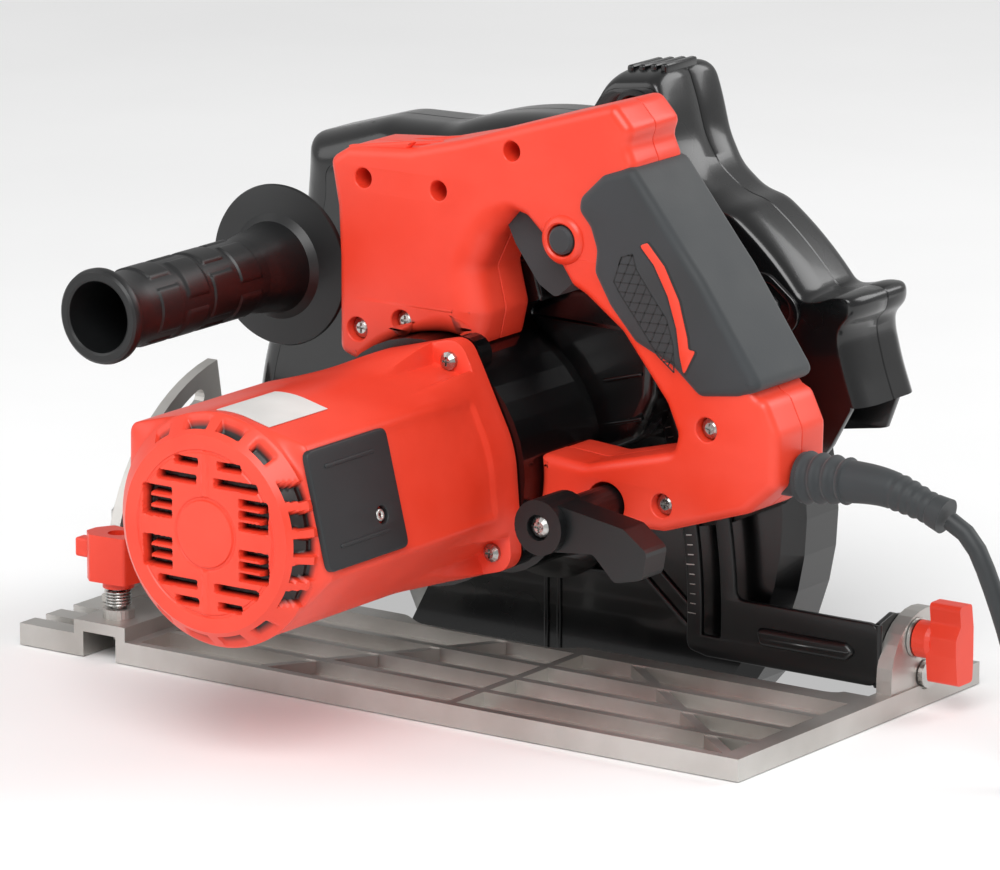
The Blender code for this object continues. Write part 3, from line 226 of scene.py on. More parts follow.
def turnedPiece(name, profile, centre, axis, finish, sides=96, shape=None, closed=False, smooth=35):
    # A turned surface whose first and last rings are closed by flat ends, or joined if closed.
    points, rows, columns = turned(profile, centre, axis, sides, shape)
    faces = gridFaces(rows, columns, True, closed)
    if not closed:
        faces.append(list(range(columns))[::-1])
        faces.append([(rows - 1) * columns + k for k in range(columns)])
    return fixOutward(makeMesh(name, points, faces, finish, smooth))


def fixOutward(obj):
    # turns all faces outwards on one closed mesh with bmesh's normal recalculation, after merging points closer
    # than 2 µm.
    bm = bmesh.new()
    bm.from_mesh(obj.data)
    bmesh.ops.remove_doubles(bm, verts=bm.verts, dist=0.000002)
    bmesh.ops.recalc_face_normals(bm, faces=bm.faces)
    bm.to_mesh(obj.data)
    bm.free()
    return obj


def roundedLoop(points, radius, steps=5):
    # A polygon with each corner replaced by a quadratic curve of about the radius.
    points = np.asarray(points, float)
    made = []
    for k in range(len(points)):
        here = points[k]
        back, ahead = points[k - 1] - here, points[(k + 1) % len(points)] - here
        reachBack, reachAhead = np.linalg.norm(back), np.linalg.norm(ahead)
        cosine = np.clip(back @ ahead / (reachBack * reachAhead), -0.999, 0.999)
        reach = min(radius / math.tan(math.acos(cosine) / 2), reachBack * 0.45, reachAhead * 0.45)
        start, end = here + back / reachBack * reach, here + ahead / reachAhead * reach
        t = np.linspace(0, 1, steps + 1)[:, None]
        made.append(start * (1 - t) ** 2 + here * 2 * t * (1 - t) + end * t ** 2)
    return np.concatenate(made)


def resampled(loop, spacing):
    # the loop with points spread evenly along it.
    closed = np.vstack([loop, loop[:1]])
    run = np.concatenate([[0], np.cumsum(np.linalg.norm(np.diff(closed, axis=0), axis=1))])
    at = np.linspace(0, run[-1], max(12, int(run[-1] / spacing)), endpoint=False)
    return np.stack([np.interp(at, run, closed[:, k]) for k in range(2)], 1)


def insetLoop(loop, amount):
    # the loop moved inwards along its normals; anticlockwise loops shrink, clockwise ones grow.
    ahead = np.roll(loop, -1, 0) - np.roll(loop, 1, 0)
    normal = np.stack([-ahead[:, 1], ahead[:, 0]], 1)
    normal /= np.linalg.norm(normal, axis=1)[:, None] + 1e-9
    return loop + normal * amount


def anticlockwise(loop, wanted=True):
    area = np.sum(loop[:, 0] * np.roll(loop[:, 1], -1) - np.roll(loop[:, 0], -1) * loop[:, 1])
    return loop if (area > 0) == wanted else loop[::-1]


def plate(name, outline, low, high, finish, edge=2.0, holes=(), steps=5, plane="XZ", spacing=2.0,
          lowEdge=None, corner=3.0, smooth=32, swell=None, holeEdge=None):
    # A flat shape given thickness, its edges rolled over a quarter circle.
    # Loop k stands at height high - edge (1 - sin a) and is moved in by edge (1 - cos a).
    lowEdge = edge if lowEdge is None else lowEdge
    loops = [anticlockwise(resampled(roundedLoop(outline, corner), spacing))]
    loops += [anticlockwise(resampled(np.asarray(h, float), min(spacing, 1.2)), False) for h in holes]
    a = np.linspace(0, math.pi / 2, steps + 1)
    points, faces, offset = [], [], 0
    caps = ([], [])
    for number, loop in enumerate(loops):
        n = len(loop)
        topIn, topDrop = np.full(n, edge), np.full(n, edge)
        under = lowEdge
        if number and holeEdge is not None:
            topIn, topDrop, under = np.full(n, holeEdge), np.full(n, holeEdge), min(lowEdge, holeEdge)
        if swell and not number:
            topIn, topDrop = swell(loop)
        rows = [(np.full(n, under * (1 - math.sin(t))), np.full(n, low + under * (1 - math.cos(t)))) for t in a]
        rows += [(topIn * (1 - math.cos(t)), high - topDrop * (1 - math.sin(t))) for t in a]
        points.append(np.concatenate([np.column_stack([insetLoop(loop, inset[:, None]), height])
                                      for inset, height in rows]))
        faces += gridFaces(len(rows), n, True, False, offset)
        caps[0].append([offset + k for k in range(n)])
        caps[1].append([offset + (len(rows) - 1) * n + k for k in range(n)])
        offset += len(rows) * n
    points = np.concatenate(points)
    for cap in caps:
        flat = [[Vector((points[i][0], points[i][1], 0)) for i in ring] for ring in cap]
        index = [i for ring in cap for i in ring]
        faces += [[index[i] for i in tri] for tri in tessellate_polygon(flat)]
    order = {"XZ": (0, 2, 1), "YZ": (2, 0, 1), "XY": (0, 1, 2)}[plane]
    points = points[:, order] * mm
    return fixOutward(makeMesh(name, points, faces, finish, smooth))


def circleLoop(centre, radius, count=40):
    a = np.linspace(0, 2 * math.pi, count, endpoint=False)
    return np.stack([centre[0] + radius * np.cos(a), centre[1] + radius * np.sin(a)], 1)


def smoothRoute(route, spacing):
    # evenly spread points on a Catmull-Rom curve through the route.
    p = np.asarray(route, float)
    p = np.vstack([2 * p[0] - p[1], p, 2 * p[-1] - p[-2]])
    t = np.linspace(0, 1, 24, endpoint=False)[:, None]
    fine = [0.5 * (2 * b + (c - a) * t + (2 * a - 5 * b + 4 * c - d) * t ** 2
                   + (3 * b - a - 3 * c + d) * t ** 3)
            for a, b, c, d in zip(p[:-3], p[1:-2], p[2:-1], p[3:])]
    fine = np.concatenate(fine + [p[-2:-1]])
    run = np.concatenate([[0], np.cumsum(np.linalg.norm(np.diff(fine, axis=0), axis=1))])
    at = np.linspace(0, run[-1], max(3, int(round(run[-1] / spacing)) + 1))
    return np.stack([np.interp(at, run, fine[:, k]) for k in range(3)], 1)


def sweptPiece(name, path, radii, finish, sides=20, up=(0, 0, 1), smooth=40):
    # circles of the given radii set square to a path: point = path + r (cos t n + sin t b).
    path = np.asarray(path, float)
    radii = np.broadcast_to(np.asarray(radii, float), (len(path),))
    ahead = np.gradient(path, axis=0)
    ahead /= np.linalg.norm(ahead, axis=1)[:, None]
    side = np.cross(ahead, up)
    weak = np.linalg.norm(side, axis=1) < 0.2
    side[weak] = np.cross(ahead[weak], (0, 1, 0))
    for k in range(1, len(side)):                    # keep the frame from flipping along the path
        moved = side[k - 1] - ahead[k] * (side[k - 1] @ ahead[k])
        side[k] = moved
    side /= np.linalg.norm(side, axis=1)[:, None]
    rise = np.cross(side, ahead)
    t = np.linspace(0, 2 * math.pi, sides, endpoint=False)
    points = (path[:, None] + radii[:, None, None] * (np.cos(t)[None, :, None] * side[:, None]
                                                    + np.sin(t)[None, :, None] * rise[:, None]))
    faces = gridFaces(len(path), sides)
    faces.append(list(range(sides))[::-1])
    faces.append([(len(path) - 1) * sides + k for k in range(sides)])
    return fixOutward(makeMesh(name, points.reshape(-1, 3) * mm, faces, finish, smooth))


def place(obj, body, *nodes):
    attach(obj, body)
    if nodes:
        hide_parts(*nodes)
    return obj


# camera, lights, floor

def makeCamera():
    data = bpy.data.cameras.new("camera")
    data.lens, data.sensor_width = 274.2, 36.0
    data.clip_end = 20
    camera = bpy.data.objects.new("camera", data)
    right = Vector((-math.cos(math.radians(35.27)), -math.sin(math.radians(35.27)), 0))
    ahead = Vector((0.56138, -0.79375, -0.23412)).normalized()
    up = right.cross(ahead)
    turn = Matrix((right, up, -ahead)).transposed().to_4x4()
    camera.matrix_world = Matrix.Translation(Vector((-1.70506, 2.41591, 0.80755))) @ turn
    bpy.context.scene.collection.objects.link(camera)
    bpy.context.scene.camera = camera


studio = {"key": 46.0, "fill": 16.0, "rim": 24.0, "world": 0.5}


def makeLights():
    spots = {"key": ((-0.9, 1.6, 1.9), 1.5), "fill": ((1.8, 1.5, 1.2), 1.8), "rim": ((-1.3, -1.6, 1.5), 1.4)}
    for name, (where, width) in spots.items():
        data = bpy.data.lights.new(name, "AREA")
        data.energy, data.size = studio[name], width
        lamp = bpy.data.objects.new(name, data)
        lamp.location = where
        lamp.rotation_euler = (Vector((0, 0.02, 0.1)) - Vector(where)).to_track_quat("-Z", "Y").to_euler()
        bpy.context.scene.collection.objects.link(lamp)
    world = bpy.data.worlds.new("studio")
    world.use_nodes = True
    world.node_tree.nodes["Background"].inputs["Color"].default_value = (1, 1, 1, 1)
    world.node_tree.nodes["Background"].inputs["Strength"].default_value = studio["world"]
    bpy.context.scene.world = world


def makeFloor():
    # A wide pale sheet with an opening under the sole's slot, where the blade passes through.
    x = np.array([-6000, -148, 126, 6000.0])
    y = np.array([-6000, -81, -15, 6000.0])
    gx, gy = np.meshgrid(x, y, indexing="ij")
    points = np.stack([gx, gy, np.full_like(gx, -0.4)], -1).reshape(-1, 3) * mm
    faces = [f for k, f in enumerate(gridFaces(4, 4, False)) if k != 4]
    made, tree, shader, spot = startMaterial("palePaper", 0.75)
    colour = mottled(tree, spot, "#F4F4F4", "#F8F8F8", 3.0)[0]
    tree.links.new(colour, shader.inputs["Base Color"])
    finishes["floor"] = made
    floor = makeMesh("floor", points, faces, "floor")


bpy.context.scene.view_settings.view_transform = "Standard"
makeCamera()
makeLights()
makeFloor()
print("camera, lights and floor")


# mains lead: sleeve, flex, coil, plug

lead = {"diameter": 7.5, "coilCentre": (-376.0, 20.0), "coilOuter": 50.7, "pitch": 8.0,
        "turnsPerLayer": 2.4375, "layers": 4, "startAngle": 60.0}
leadRoute = [(-221.8, 22, 97.0), (-233, 22, 89), (-245, 22, 64), (-256, 22, 34), (-269, 23, 13),
             (-286, 26, 4.8), (-303, 32.5, 3.9), (-318, 40.5, 3.9)]


def coilPath():
    # layers of a flat spiral, wound in and out by turns: radius falls then grows with the angle.
    total = lead["turnsPerLayer"] * lead["layers"]
    turn = np.linspace(0, total, int(total * 26) + 1)
    layer = np.minimum(np.floor(turn / lead["turnsPerLayer"]), lead["layers"] - 1)
    along = turn / lead["turnsPerLayer"] - layer
    span = lead["pitch"] * lead["turnsPerLayer"]
    radius = lead["coilOuter"] - span * np.where(layer % 2 == 0, along, 1 - along)
    blend = np.clip((along - 0.88) / 0.12, 0, 1)
    lift = layer + np.where(layer < lead["layers"] - 1, blend * blend * (3 - 2 * blend), 0)
    angle = np.radians(lead["startAngle"]) + 2 * math.pi * turn
    x, y = lead["coilCentre"]
    return np.stack([x + radius * np.cos(angle), y + radius * np.sin(angle),
                     lead["diameter"] / 2 + 0.15 + lift * 7.55], 1)


coil = coilPath()
tail = [tuple(coil[-1]), (-324, 22, 26), (-313, 48, 21), (-317, 76, 14.5), (-331, 92, 12.3), (-350, 96, 12)]
uncoiled = smoothRoute(leadRoute + [(-335, 52.5, 3.9), tuple(coil[0])], 8.0)
ending = smoothRoute(tail, 8.0)
leadPath = np.concatenate([uncoiled[:-1], coil, ending[1:]])
flex = place(sweptPiece("mains_flex", leadPath, lead["diameter"] / 2, "cordRubber", 14), "saw_body",
             "cord", "cord_coil")


def makePlug():
    # A round-nosed plug: superellipse sections carried along X, with two pins and a ribbed tail.
    t = np.linspace(0, 2 * math.pi, 48, endpoint=False)
    stations = [(-410, 15.0, 10.5), (-409, 16.5, 11.4), (-405, 17.6, 11.7), (-396, 17.6, 11.7),
                (-388, 16, 11.2), (-380, 13, 10.2), (-375, 9, 8.6), (-373, 6.6, 6.6)]
    stations += [(-372 + k * 2.4, 6.5 - 0.25 * k if k % 2 else 5.4 - 0.18 * k, 0) for k in range(10)]
    rows = []
    for x, half, high in stations:
        high = high or half
        power = 0.45 if x < -376 else 1.0
        c, s = np.cos(t), np.sin(t)
        rows.append(np.stack([np.full_like(t, x), 96 + half * np.sign(c) * abs(c) ** power,
                              12 + high * np.sign(s) * abs(s) ** power], 1))
    faces = gridFaces(len(rows), 48) + [list(range(48))[::-1], [(len(rows) - 1) * 48 + k for k in range(48)]]
    body = fixOutward(makeMesh("mains_plug_body", np.concatenate(rows) * mm, faces, "cordRubber"))
    place(body, "saw_body", "mains_plug")
    pins = []
    for side in (-1, 1):
        profile = [(0.01, 0), (2.3, 0), (2.3, -17), (2.0, -18.4), (1.2, -19), (0.01, -19)]
        pins.append(place(turnedPiece("plug_pin_a" if side < 0 else "plug_pin_b", profile,
                                      (-409.5, 96 + side * 9.5, 12), "X", "zincSteel", 24), "saw_body"))
    return [body] + pins


plugPieces = makePlug()


def makeSleeve():
    # the strain relief: a tapering tube whose radius swells and dips once every bellow.
    path = smoothRoute([(-140, 22, 104.5), (-148, 22, 104.5), (-157, 22, 104.8), (-175, 22, 106),
                        (-195, 22, 105.5), (-220, 22, 98.5)], 0.6)
    x = path[:, 0]
    base = np.interp(x, (-220, -214, -200, -176, -158, -155.4, -155.2, -140),
                     (6.6, 5.9, 7.0, 8.4, 9.6, 10.0, 8.0, 8.0))
    run = np.clip((-158 - x) / 54, 0, 1)
    ribs = np.where((x < -196) & (x > -213), 0.3 * np.cos(2 * math.pi * run * 13), 0)
    bellows = np.where((x <= -158) & (x >= -176), 0.9 * np.cos((x + 158) / 6 * 2 * math.pi), 0)
    flare = np.where(x < -214, 0.5, 0)
    return place(sweptPiece("strain_relief_sleeve", path, base + ribs + bellows + flare, "greyRubber", 40),
                 "saw_body", "strain_relief")


sleeve = makeSleeve()
print("mains lead, coil and plug")

# motor housing: a hull of circles for each section, and a vented end cap

motor = {"x": 6.5, "z": 93.14, "radius": 46.0, "start": 50.0, "end": 190.0, "lobeRadius": 50.0,
         "lobeAngles": (24, 114, 215, 304),
         "pads": [(-34.5, 33.3), (-45.6, -11.3), (41.5, 31), (41.5, -13)]}


def hullRadius(angle, centres, rounding):
    # radius of the convex hull of circles: the least of h(p)/cos(a-p) over directions p.
    p = np.radians(np.arange(0, 360, 1.5))
    centres, rounding = np.asarray(centres, float), np.asarray(rounding, float)
    support = (centres[:, :1] * np.cos(p) + centres[:, 1:] * np.sin(p) + rounding[:, None]).max(0)
    toward = np.cos(angle.reshape(-1, 1) - p)
    reach = np.where(toward > 0.05, support / np.maximum(toward, 0.05), 1e9)
    return reach.min(1).reshape(angle.shape)


def smoothStep(low, high, value):
    t = np.clip((value - low) / (high - low), 0, 1)
    return t * t * (3 - 2 * t)


def slotDepth(u, v, cu, cv, halfU, halfV, soft=0.45):
    # 1 inside a rectangle with soft edges, 0 outside.
    return (smoothStep(halfU + soft, halfU - soft, abs(u - cu))
            * smoothStep(halfV + soft, halfV - soft, abs(v - cv)))


def makeMotorHousing():
    m = motor
    sides = 288
    lobes = [(m["lobeRadius"] * math.cos(math.radians(a)), m["lobeRadius"] * math.sin(math.radians(a)))
             for a in m["lobeAngles"]]
    pads = m["pads"]
    y = np.concatenate([[50, 50.4, 51, 55, 57.2, 57.9, 58.2, 58.6], np.arange(60, 176, 1.5),
                        np.arange(176, 190.2, 0.5)])
    angle = np.linspace(0, 2 * math.pi, sides, endpoint=False)
    flange = hullRadius(angle, lobes + [(0, 0)], [8] * 4 + [47])
    body = hullRadius(angle, [(0, 0)] + pads, [45.2] + [4.6] * 4)
    a, yy = np.meshgrid(angle, y)
    near = np.zeros_like(angle)
    for lobe in m["lobeAngles"]:
        off = abs((np.degrees(angle) - lobe + 180) % 360 - 180)
        near = np.maximum(near, smoothStep(12, 8, off))
    fall = smoothStep(96, 58, yy) * (1 - near) + smoothStep(58.7, 58.1, yy) * near
    r = body + (flange - body) * fall
    r -= np.where(yy < 51, 0.8 * (1 - np.sqrt(np.clip(1 - (51 - yy) ** 2, 0, 1))), 0)
    cap = np.where(yy > 176, 1.0, 0) * smoothStep(176, 181, yy)
    r = r * (1 - cap) + cap * m["radius"]
    r = np.where(yy > 182, m["radius"] - (yy - 182) * 0.93, r)
    panel = 0.9 * smoothStep(171, 170, yy) * smoothStep(66, 67.5, yy)          # sunk long panels
    side = smoothStep(0.50, 0.44, abs(np.angle(np.exp(1j * (a - math.radians(166))))))
    r -= panel * side
    vent = np.zeros_like(r)
    for first, last in ((52, 62), (74, 88), (96, 110), (119, 131), (-62, -52), (-88, -74), (-110, -96),
                        (-131, -119)):
        middle, half = math.radians((first + last) / 2), math.radians((last - first) / 2)
        off = np.angle(np.exp(1j * (a - middle)))
        vent = np.maximum(vent, slotDepth(off * 44, yy, 0, 185.5, half * 44, 2.0))
    z = r * np.sin(a)
    for level in (-21, -10.5, 0, 10.5, 21):
        vent = np.maximum(vent, slotDepth(z, yy, level, 183.6, 3.1, 3.9) * (np.cos(a) < -0.2))
    r = r - vent * 4.2
    rows = np.stack([m["x"] + r * np.cos(a), yy, m["z"] + r * np.sin(a)], -1)
    ringRadius = np.linspace(1, 0.012, 96)
    rim = r[-1]
    fr = ringRadius[1:, None] * rim[None]
    fa = np.repeat(angle[None], len(ringRadius) - 1, 0)
    fx, fz = fr * np.cos(fa), fr * np.sin(fa)
    cut = np.zeros_like(fr)
    for sign in (-1, 1):
        for row in ((-11.5, 27.5, 5.2, 1.35), (9, 27.5, 5.2, 1.35), (-14.5, 20.6, 10, 1.5),
                    (13.5, 20.6, 9, 1.5)):
            cut = np.maximum(cut, slotDepth(fx, fz, row[0], sign * row[1], row[2], row[3]))
        for level in (5.4, 9.9, 14.4):
            for side in (-1, 1):
                cut = np.maximum(cut, slotDepth(fx, fz, side * 22.5, sign * level, 6.2, 1.3))
        for side in (-1, 1):
            cut = np.maximum(cut, slotDepth(fx, fz, side * 28, sign * 9.9, 1.6, 5.8))
    cut *= smoothStep(15.0, 15.8, fr)
    groove = 0.45 * (smoothStep(13.0, 13.4, fr) * smoothStep(14.6, 14.2, fr)
                     + smoothStep(31.3, 31.7, fr) * smoothStep(33.0, 32.6, fr))
    ridge = 0.5 * smoothStep(1.7, 1.2, abs(fx)) * smoothStep(14.4, 14.8, fr) * smoothStep(32.6, 32.2, fr)
    lift = 0.5 * smoothStep(13.2, 12.8, fr)
    face = np.stack([m["x"] + fx, m["end"] - cut * 5.5 - groove + ridge + lift, m["z"] + fz], -1)
    points = np.concatenate([rows, face]).reshape(-1, 3)
    total = len(y) + len(ringRadius) - 1
    faces = gridFaces(total, sides)
    faces.append(list(range(sides)))
    faces.append([(total - 1) * sides + k for k in range(sides)][::-1])
    obj = makeMesh("motor_shell", points * mm, faces, "redPaintedSlotShade", 38)
    # the slot depth is kept on the mesh as an attribute, and the material paints shade into the slots from it
    paintedShadeLayer = obj.data.attributes.new("vent", "FLOAT", "POINT")
    paintedShadeLayer.data.foreach_set("value", np.concatenate([vent, cut]).reshape(-1).astype(np.float32))
    return place(fixOutward(obj), "saw_body", "motor_housing")


def onFacet(obj, out):
    # lays a flat piece on the tilted side of the housing: out along its normal at 166 degrees
    c, t = math.cos(math.radians(166)), math.sin(math.radians(166))
    x, z = motor["x"] * mm + c * out * mm, motor["z"] * mm + t * out * mm
    obj.data.transform(Matrix(((0, t, c, x), (1, 0, 0, 0), (0, -c, t, z), (0, 0, 0, 1))))
    return fixOutward(obj)


def makeBrushCover():
    y0, y1, s0, s1 = 129, 180, -22, 25
    well = circleLoop((142, -7), 3.6)
    cover = plate("brush_cover_plate", [(y0, s0), (y1, s0), (y1, s1), (y0, s1)], 0, 2.6, "greyNylon",
                  edge=0.9, corner=3.5, plane="XY", spacing=1.5, lowEdge=0.2, holes=[well], holeEdge=0.4)
    place(onFacet(cover, 45.6), "saw_body", "brush_cover")
    screw = plate("brush_cover_screw_head", circleLoop((142, -7), 2.6), 0, 1.6, "zincSteel", edge=0.8,
                  corner=0.3, plane="XY", spacing=0.6, lowEdge=0.1, holes=[circleLoop((142, -7), 0.9, 8)])
    place(onFacet(screw, 45.9), "saw_body", "brush_cover_screw")
    for k, level in enumerate((-13.5, 17.5)):
        bar = plate("brush_cover_rib_" + "ab"[k], [(y0 + 10, level - 0.8), (y1 - 9, level - 0.8),
                    (y1 - 9, level + 0.8), (y0 + 10, level + 0.8)], 0, 0.5, "greyNylon", edge=0.4,
                    corner=0.7, plane="XY", spacing=1, steps=3, lowEdge=0.05)
        place(onFacet(bar, 48.15), "saw_body")


def paintedSlotShadePlastic():
    # the red nylon with painted shade: it falls to a painted shadow black down in the air slots, read from the
    # slot depth stored on the mesh.
    made = mouldedPlastic("satinRedNylonPaintedSlotShade", "#E23A22", "#EC4630", 0.38, strength=0.08)
    tree = made.node_tree
    shader = tree.nodes["Principled BSDF"]
    source = shader.inputs["Base Color"].links[0].from_socket
    vent = addNode(tree, "ShaderNodeAttribute", attribute_name="vent")
    depth = addNode(tree, "ShaderNodeMapRange", {"Value": vent.outputs["Fac"]}, From_Min=0.35, From_Max=0.9)
    mix = addNode(tree, "ShaderNodeMix", {"Factor": depth.outputs["Result"]}, data_type="RGBA")
    tree.links.new(source, mix.inputs["A"])
    # near-black painted shade for the bottoms of the air slots
    mix.inputs["B"].default_value = hexColour("#160B09")
    tree.links.new(mix.outputs["Result"], shader.inputs["Base Color"])
    return made


finishes["redPaintedSlotShade"] = paintedSlotShadePlastic()
finishes["greyNylon"] = mouldedPlastic("mouldedDarkGreyNylon", "#1B1E20", "#222527", 0.5)
makeMotorHousing()
makeBrushCover()
print("motor housing and brush cover")

# handle: two rounded halves, the grip's soft cover, its diamond panel and the arrow

handle = {"near": 40.0, "far": 4.0, "mid": 22.0, "edge": 4.2, "coverNear": 42.3, "coverFar": 1.7}
motorClear = 50.3


def arcPoints(centre, radius, first, last, count):
    # points on an arc, angles in degrees: centre + r (cos a, sin a)
    a = np.radians(np.linspace(first, last, count))
    return list(zip(centre[0] + radius * np.cos(a), centre[1] + radius * np.sin(a)))


def handleShape():
    # the D handle's outline, following the motor flange where it meets it
    bottom = arcPoints((6.5, 93.14), motorClear, 195, 170.5, 6)
    front = arcPoints((6.5, 93.14), motorClear, 111.4, 41.7, 16)
    return ([(59, 208), (50, 213.5), (20, 216), (-6, 222.7), (-40, 233.5), (-77.5, 245), (-86.5, 235.5),
             (-84, 229), (-87.6, 221.3), (-85.9, 218.3), (-116.3, 179.2), (-144.1, 137.8),
             (-148.5, 136.5), (-154.5, 124), (-153.9, 103), (-140, 91), (-100.8, 78.2), (-53.5, 76.5)]
            + bottom + [(-46.7, 101.5), (-64.4, 100.2), (-105.7, 110.9), (-107.5, 118.3),
                        (-102.3, 129.9), (-81.6, 155.3), (-64.2, 167.7), (-58, 170.5), (-47, 186),
                        (-36, 196), (-29.5, 197.2), (-17.5, 183.8), (-10.8, 170.1), (-15, 153.6)]
            + front + [(54.5, 130), (54.5, 168), (55.4, 189)])


def scoop(loop):
    # how far the near edge is rolled in: it widens to a broad hollow beside the finger opening
    along = smoothStep(206, 186, loop[:, 1]) * smoothStep(136, 150, loop[:, 1])
    along = along * smoothStep(-34, -24, loop[:, 0]) * smoothStep(20, 0, loop[:, 0])
    return handle["edge"] + 9 * along, handle["edge"] + 6 * along


def makeHandle():
    h = handle
    wells = [(44.8, 140.4), (23.2, 146.0), (-121.9, 122.2), (-101.2, 89.1)]
    blind = [(41.6, 201.9), (5.1, 201.1), (-30.0, 221.0)]
    holes = [circleLoop(c, 4.8) for c in wells] + [circleLoop(c, 4.0) for c in blind]
    holes += [circleLoop((-54.6, 188.8), 6.2), circleLoop((-75, 86), 8.7)]
    near = plate("handle_half_near", handleShape(), h["mid"] + 0.15, h["near"], "redShell", edge=h["edge"],
                 holes=holes, lowEdge=0.35, corner=4.5, steps=8, spacing=1.6, swell=scoop, holeEdge=0.7)
    place(near, "saw_body", "handle_shell_left")
    far = plate("handle_half_far", handleShape(), h["far"], h["mid"] - 0.15, "redShell", edge=0.35,
                lowEdge=h["edge"], corner=4.5, steps=6, holes=[circleLoop((-75, 86), 5.2)])
    place(far, "saw_body", "handle_shell_right")
    for name, (x0, x1, z0, z1) in (("front", (15, 55, 153, 203)), ("top", (-59, -21, 213, 223.5))):
        foot = plate("handle_foot_" + name, [(x0, z0), (x1, z0), (x1, z1), (x0, z1)], -26.6, 6, "redShell",
                     edge=0.5, lowEdge=0.5, corner=4)
        place(foot, "saw_body")
    ring = [(6.3, 38.6), (6.5, 41.4), (7.2, 42.0), (8.4, 41.7), (9.8, 40.2), (10.2, 38.6)]
    collar = turnedPiece("lock_button_collar", ring, (-54.6, 0, 188.8), "Y", "redShell", 64, closed=True)
    place(collar, "saw_body")
    for k, (x0, x1, y) in enumerate(((24, 50, 35.2), (15, 45, 28.4), (13, 41, 15))):
        outline = [(x0, 213.6), (x1, 211.0), (x1 + 2, 213.5), (x0 - 6, 219.2)]
        bar = plate("crest_ridge_" + "abc"[k], outline, y - 1.6, y + 1.6, "redShell", edge=1.2, lowEdge=1.2,
                    corner=1.2, spacing=1)
        place(bar, "saw_body")


coverShape = [(-63, 207), (-73.5, 217), (-87.5, 222.0), (-113, 190.5), (-120.5, 181.5), (-148.6, 141.5),
              (-137, 137.2), (-119, 134.8), (-106, 145.5), (-89, 152.5), (-77, 165.5), (-69.5, 178),
              (-70.5, 187), (-67.5, 195.5), (-62, 201.5)]
panelShape = [(-83.6, 185.9), (-88.8, 187.9), (-90.6, 182.0), (-97.6, 172.9), (-104.7, 164.4),
              (-108.0, 154.1), (-108.4, 143.6), (-100.9, 149.2), (-91.3, 161.4), (-83.3, 171.1), (-80.1, 175.8)]
arrowShape = [(-92.4, 191.7), (-99.1, 184.7), (-105.5, 173.4), (-109.6, 161.1), (-111.2, 150.5),
              (-113.1, 143.0), (-118.5, 153.4), (-115.2, 153.4), (-114.6, 158.0), (-110.7, 172.0),
              (-103.8, 184.9), (-95.9, 193.2)]


def strokes(name, lines, width, low, high, finish):
    # each line becomes a thin bar: its two ends moved sideways by half the width, low to high in Y
    bars, faces = [], []
    for (x0, z0), (x1, z1) in lines:
        side = np.array([-(z1 - z0), x1 - x0]) / (math.hypot(x1 - x0, z1 - z0) + 1e-9) * width / 2
        ends = [(x0 - side[0], z0 - side[1]), (x1 - side[0], z1 - side[1]), (x1 + side[0], z1 + side[1]),
                (x0 + side[0], z0 + side[1])]
        k = len(bars) * 8
        bars.append([(x, y, z) for y in (low, high) for x, z in ends])
        faces += [[k, k + 1, k + 2, k + 3], [k + 7, k + 6, k + 5, k + 4]]
        faces += [[k + a, k + 4 + a, k + 4 + (a + 1) % 4, k + (a + 1) % 4] for a in range(4)]
    return fixOutward(makeMesh(name, np.concatenate(bars) * mm, faces, finish))


def clipped(line, shape):
    # the part of a straight line inside a closed outline: crossings sorted along it, taken in pairs
    (x0, z0), (x1, z1) = line
    cuts = []
    for (ax, az), (bx, bz) in zip(shape, shape[1:] + shape[:1]):
        det = (x1 - x0) * (az - bz) - (z1 - z0) * (ax - bx)
        if abs(det) < 1e-9:
            continue
        t = ((ax - x0) * (az - bz) - (az - z0) * (ax - bx)) / det
        s = ((x1 - x0) * (az - z0) - (z1 - z0) * (ax - x0)) / det
        if 0 <= s < 1:
            cuts.append(t)
    cuts.sort()
    return [((x0 + (x1 - x0) * a, z0 + (z1 - z0) * a), (x0 + (x1 - x0) * b, z0 + (z1 - z0) * b))
            for a, b in zip(cuts[::2], cuts[1::2])]


def makeGrip():
    h = handle
    cover = plate("grip_soft_cover", coverShape, h["coverFar"], h["coverNear"], "greyRubber", edge=4.0,
                  lowEdge=4.0, corner=5, steps=8, spacing=1.5)
    place(cover, "saw_body", "grip_cover")
    run, across = np.array([-0.55, -0.835]), np.array([0.835, -0.55])
    start = np.array([-84.5, 187.0])
    lines = []
    for k in range(-2, 13):
        for lean in (0.62, -0.62):
            middle = start + run * 4.3 * k
            way = across + run * lean * 1.0
            lines += clipped((tuple(middle - way * 30), tuple(middle + way * 30)), panelShape)
    lines += list(zip(panelShape, panelShape[1:] + panelShape[:1]))
    place(strokes("grip_diamond_lines", lines, 0.5, 42.2, 42.42, "engraved"), "saw_body")
    arrow = plate("grip_arrow", arrowShape, 42.1, 42.75, "redShell", edge=0.2, lowEdge=0.05, corner=0.8,
                  spacing=0.8, steps=3)
    place(arrow, "saw_body")
    rim = insetLoop(anticlockwise(np.asarray(arrowShape, float)), -1.1).tolist()
    edge = plate("grip_arrow_border", rim, 42.05, 42.4, "engraved", edge=0.15, lowEdge=0.05, corner=1.2,
                 spacing=0.8, steps=2)
    place(edge, "saw_body")


finishes["engraved"] = softRubber("engravedRubber", "#17191A", "#1C1E1F", 0.7)
makeHandle()
makeGrip()
print("handle and grip")

# upper guard: crown in two halves, near wall, far wall, top blocks and bosses

guard = {"x": 0.0, "z": 69.0, "radius": 151.5, "seam": -50.0, "near": -27.0, "far": -70.0, "wall": 3.0,
         "nearRound": 15.0, "farRound": 10.0}


def guardArc(first, last, count, inset=0.0, growth=0.08):
    # the volute: radius 151.5 plus a growth for each degree past the top
    a = np.linspace(first, last, count)
    r = guard["radius"] + np.maximum(0, a - 90) * growth - inset
    return list(zip(r * np.cos(np.radians(a)), guard["z"] + r * np.sin(np.radians(a))))


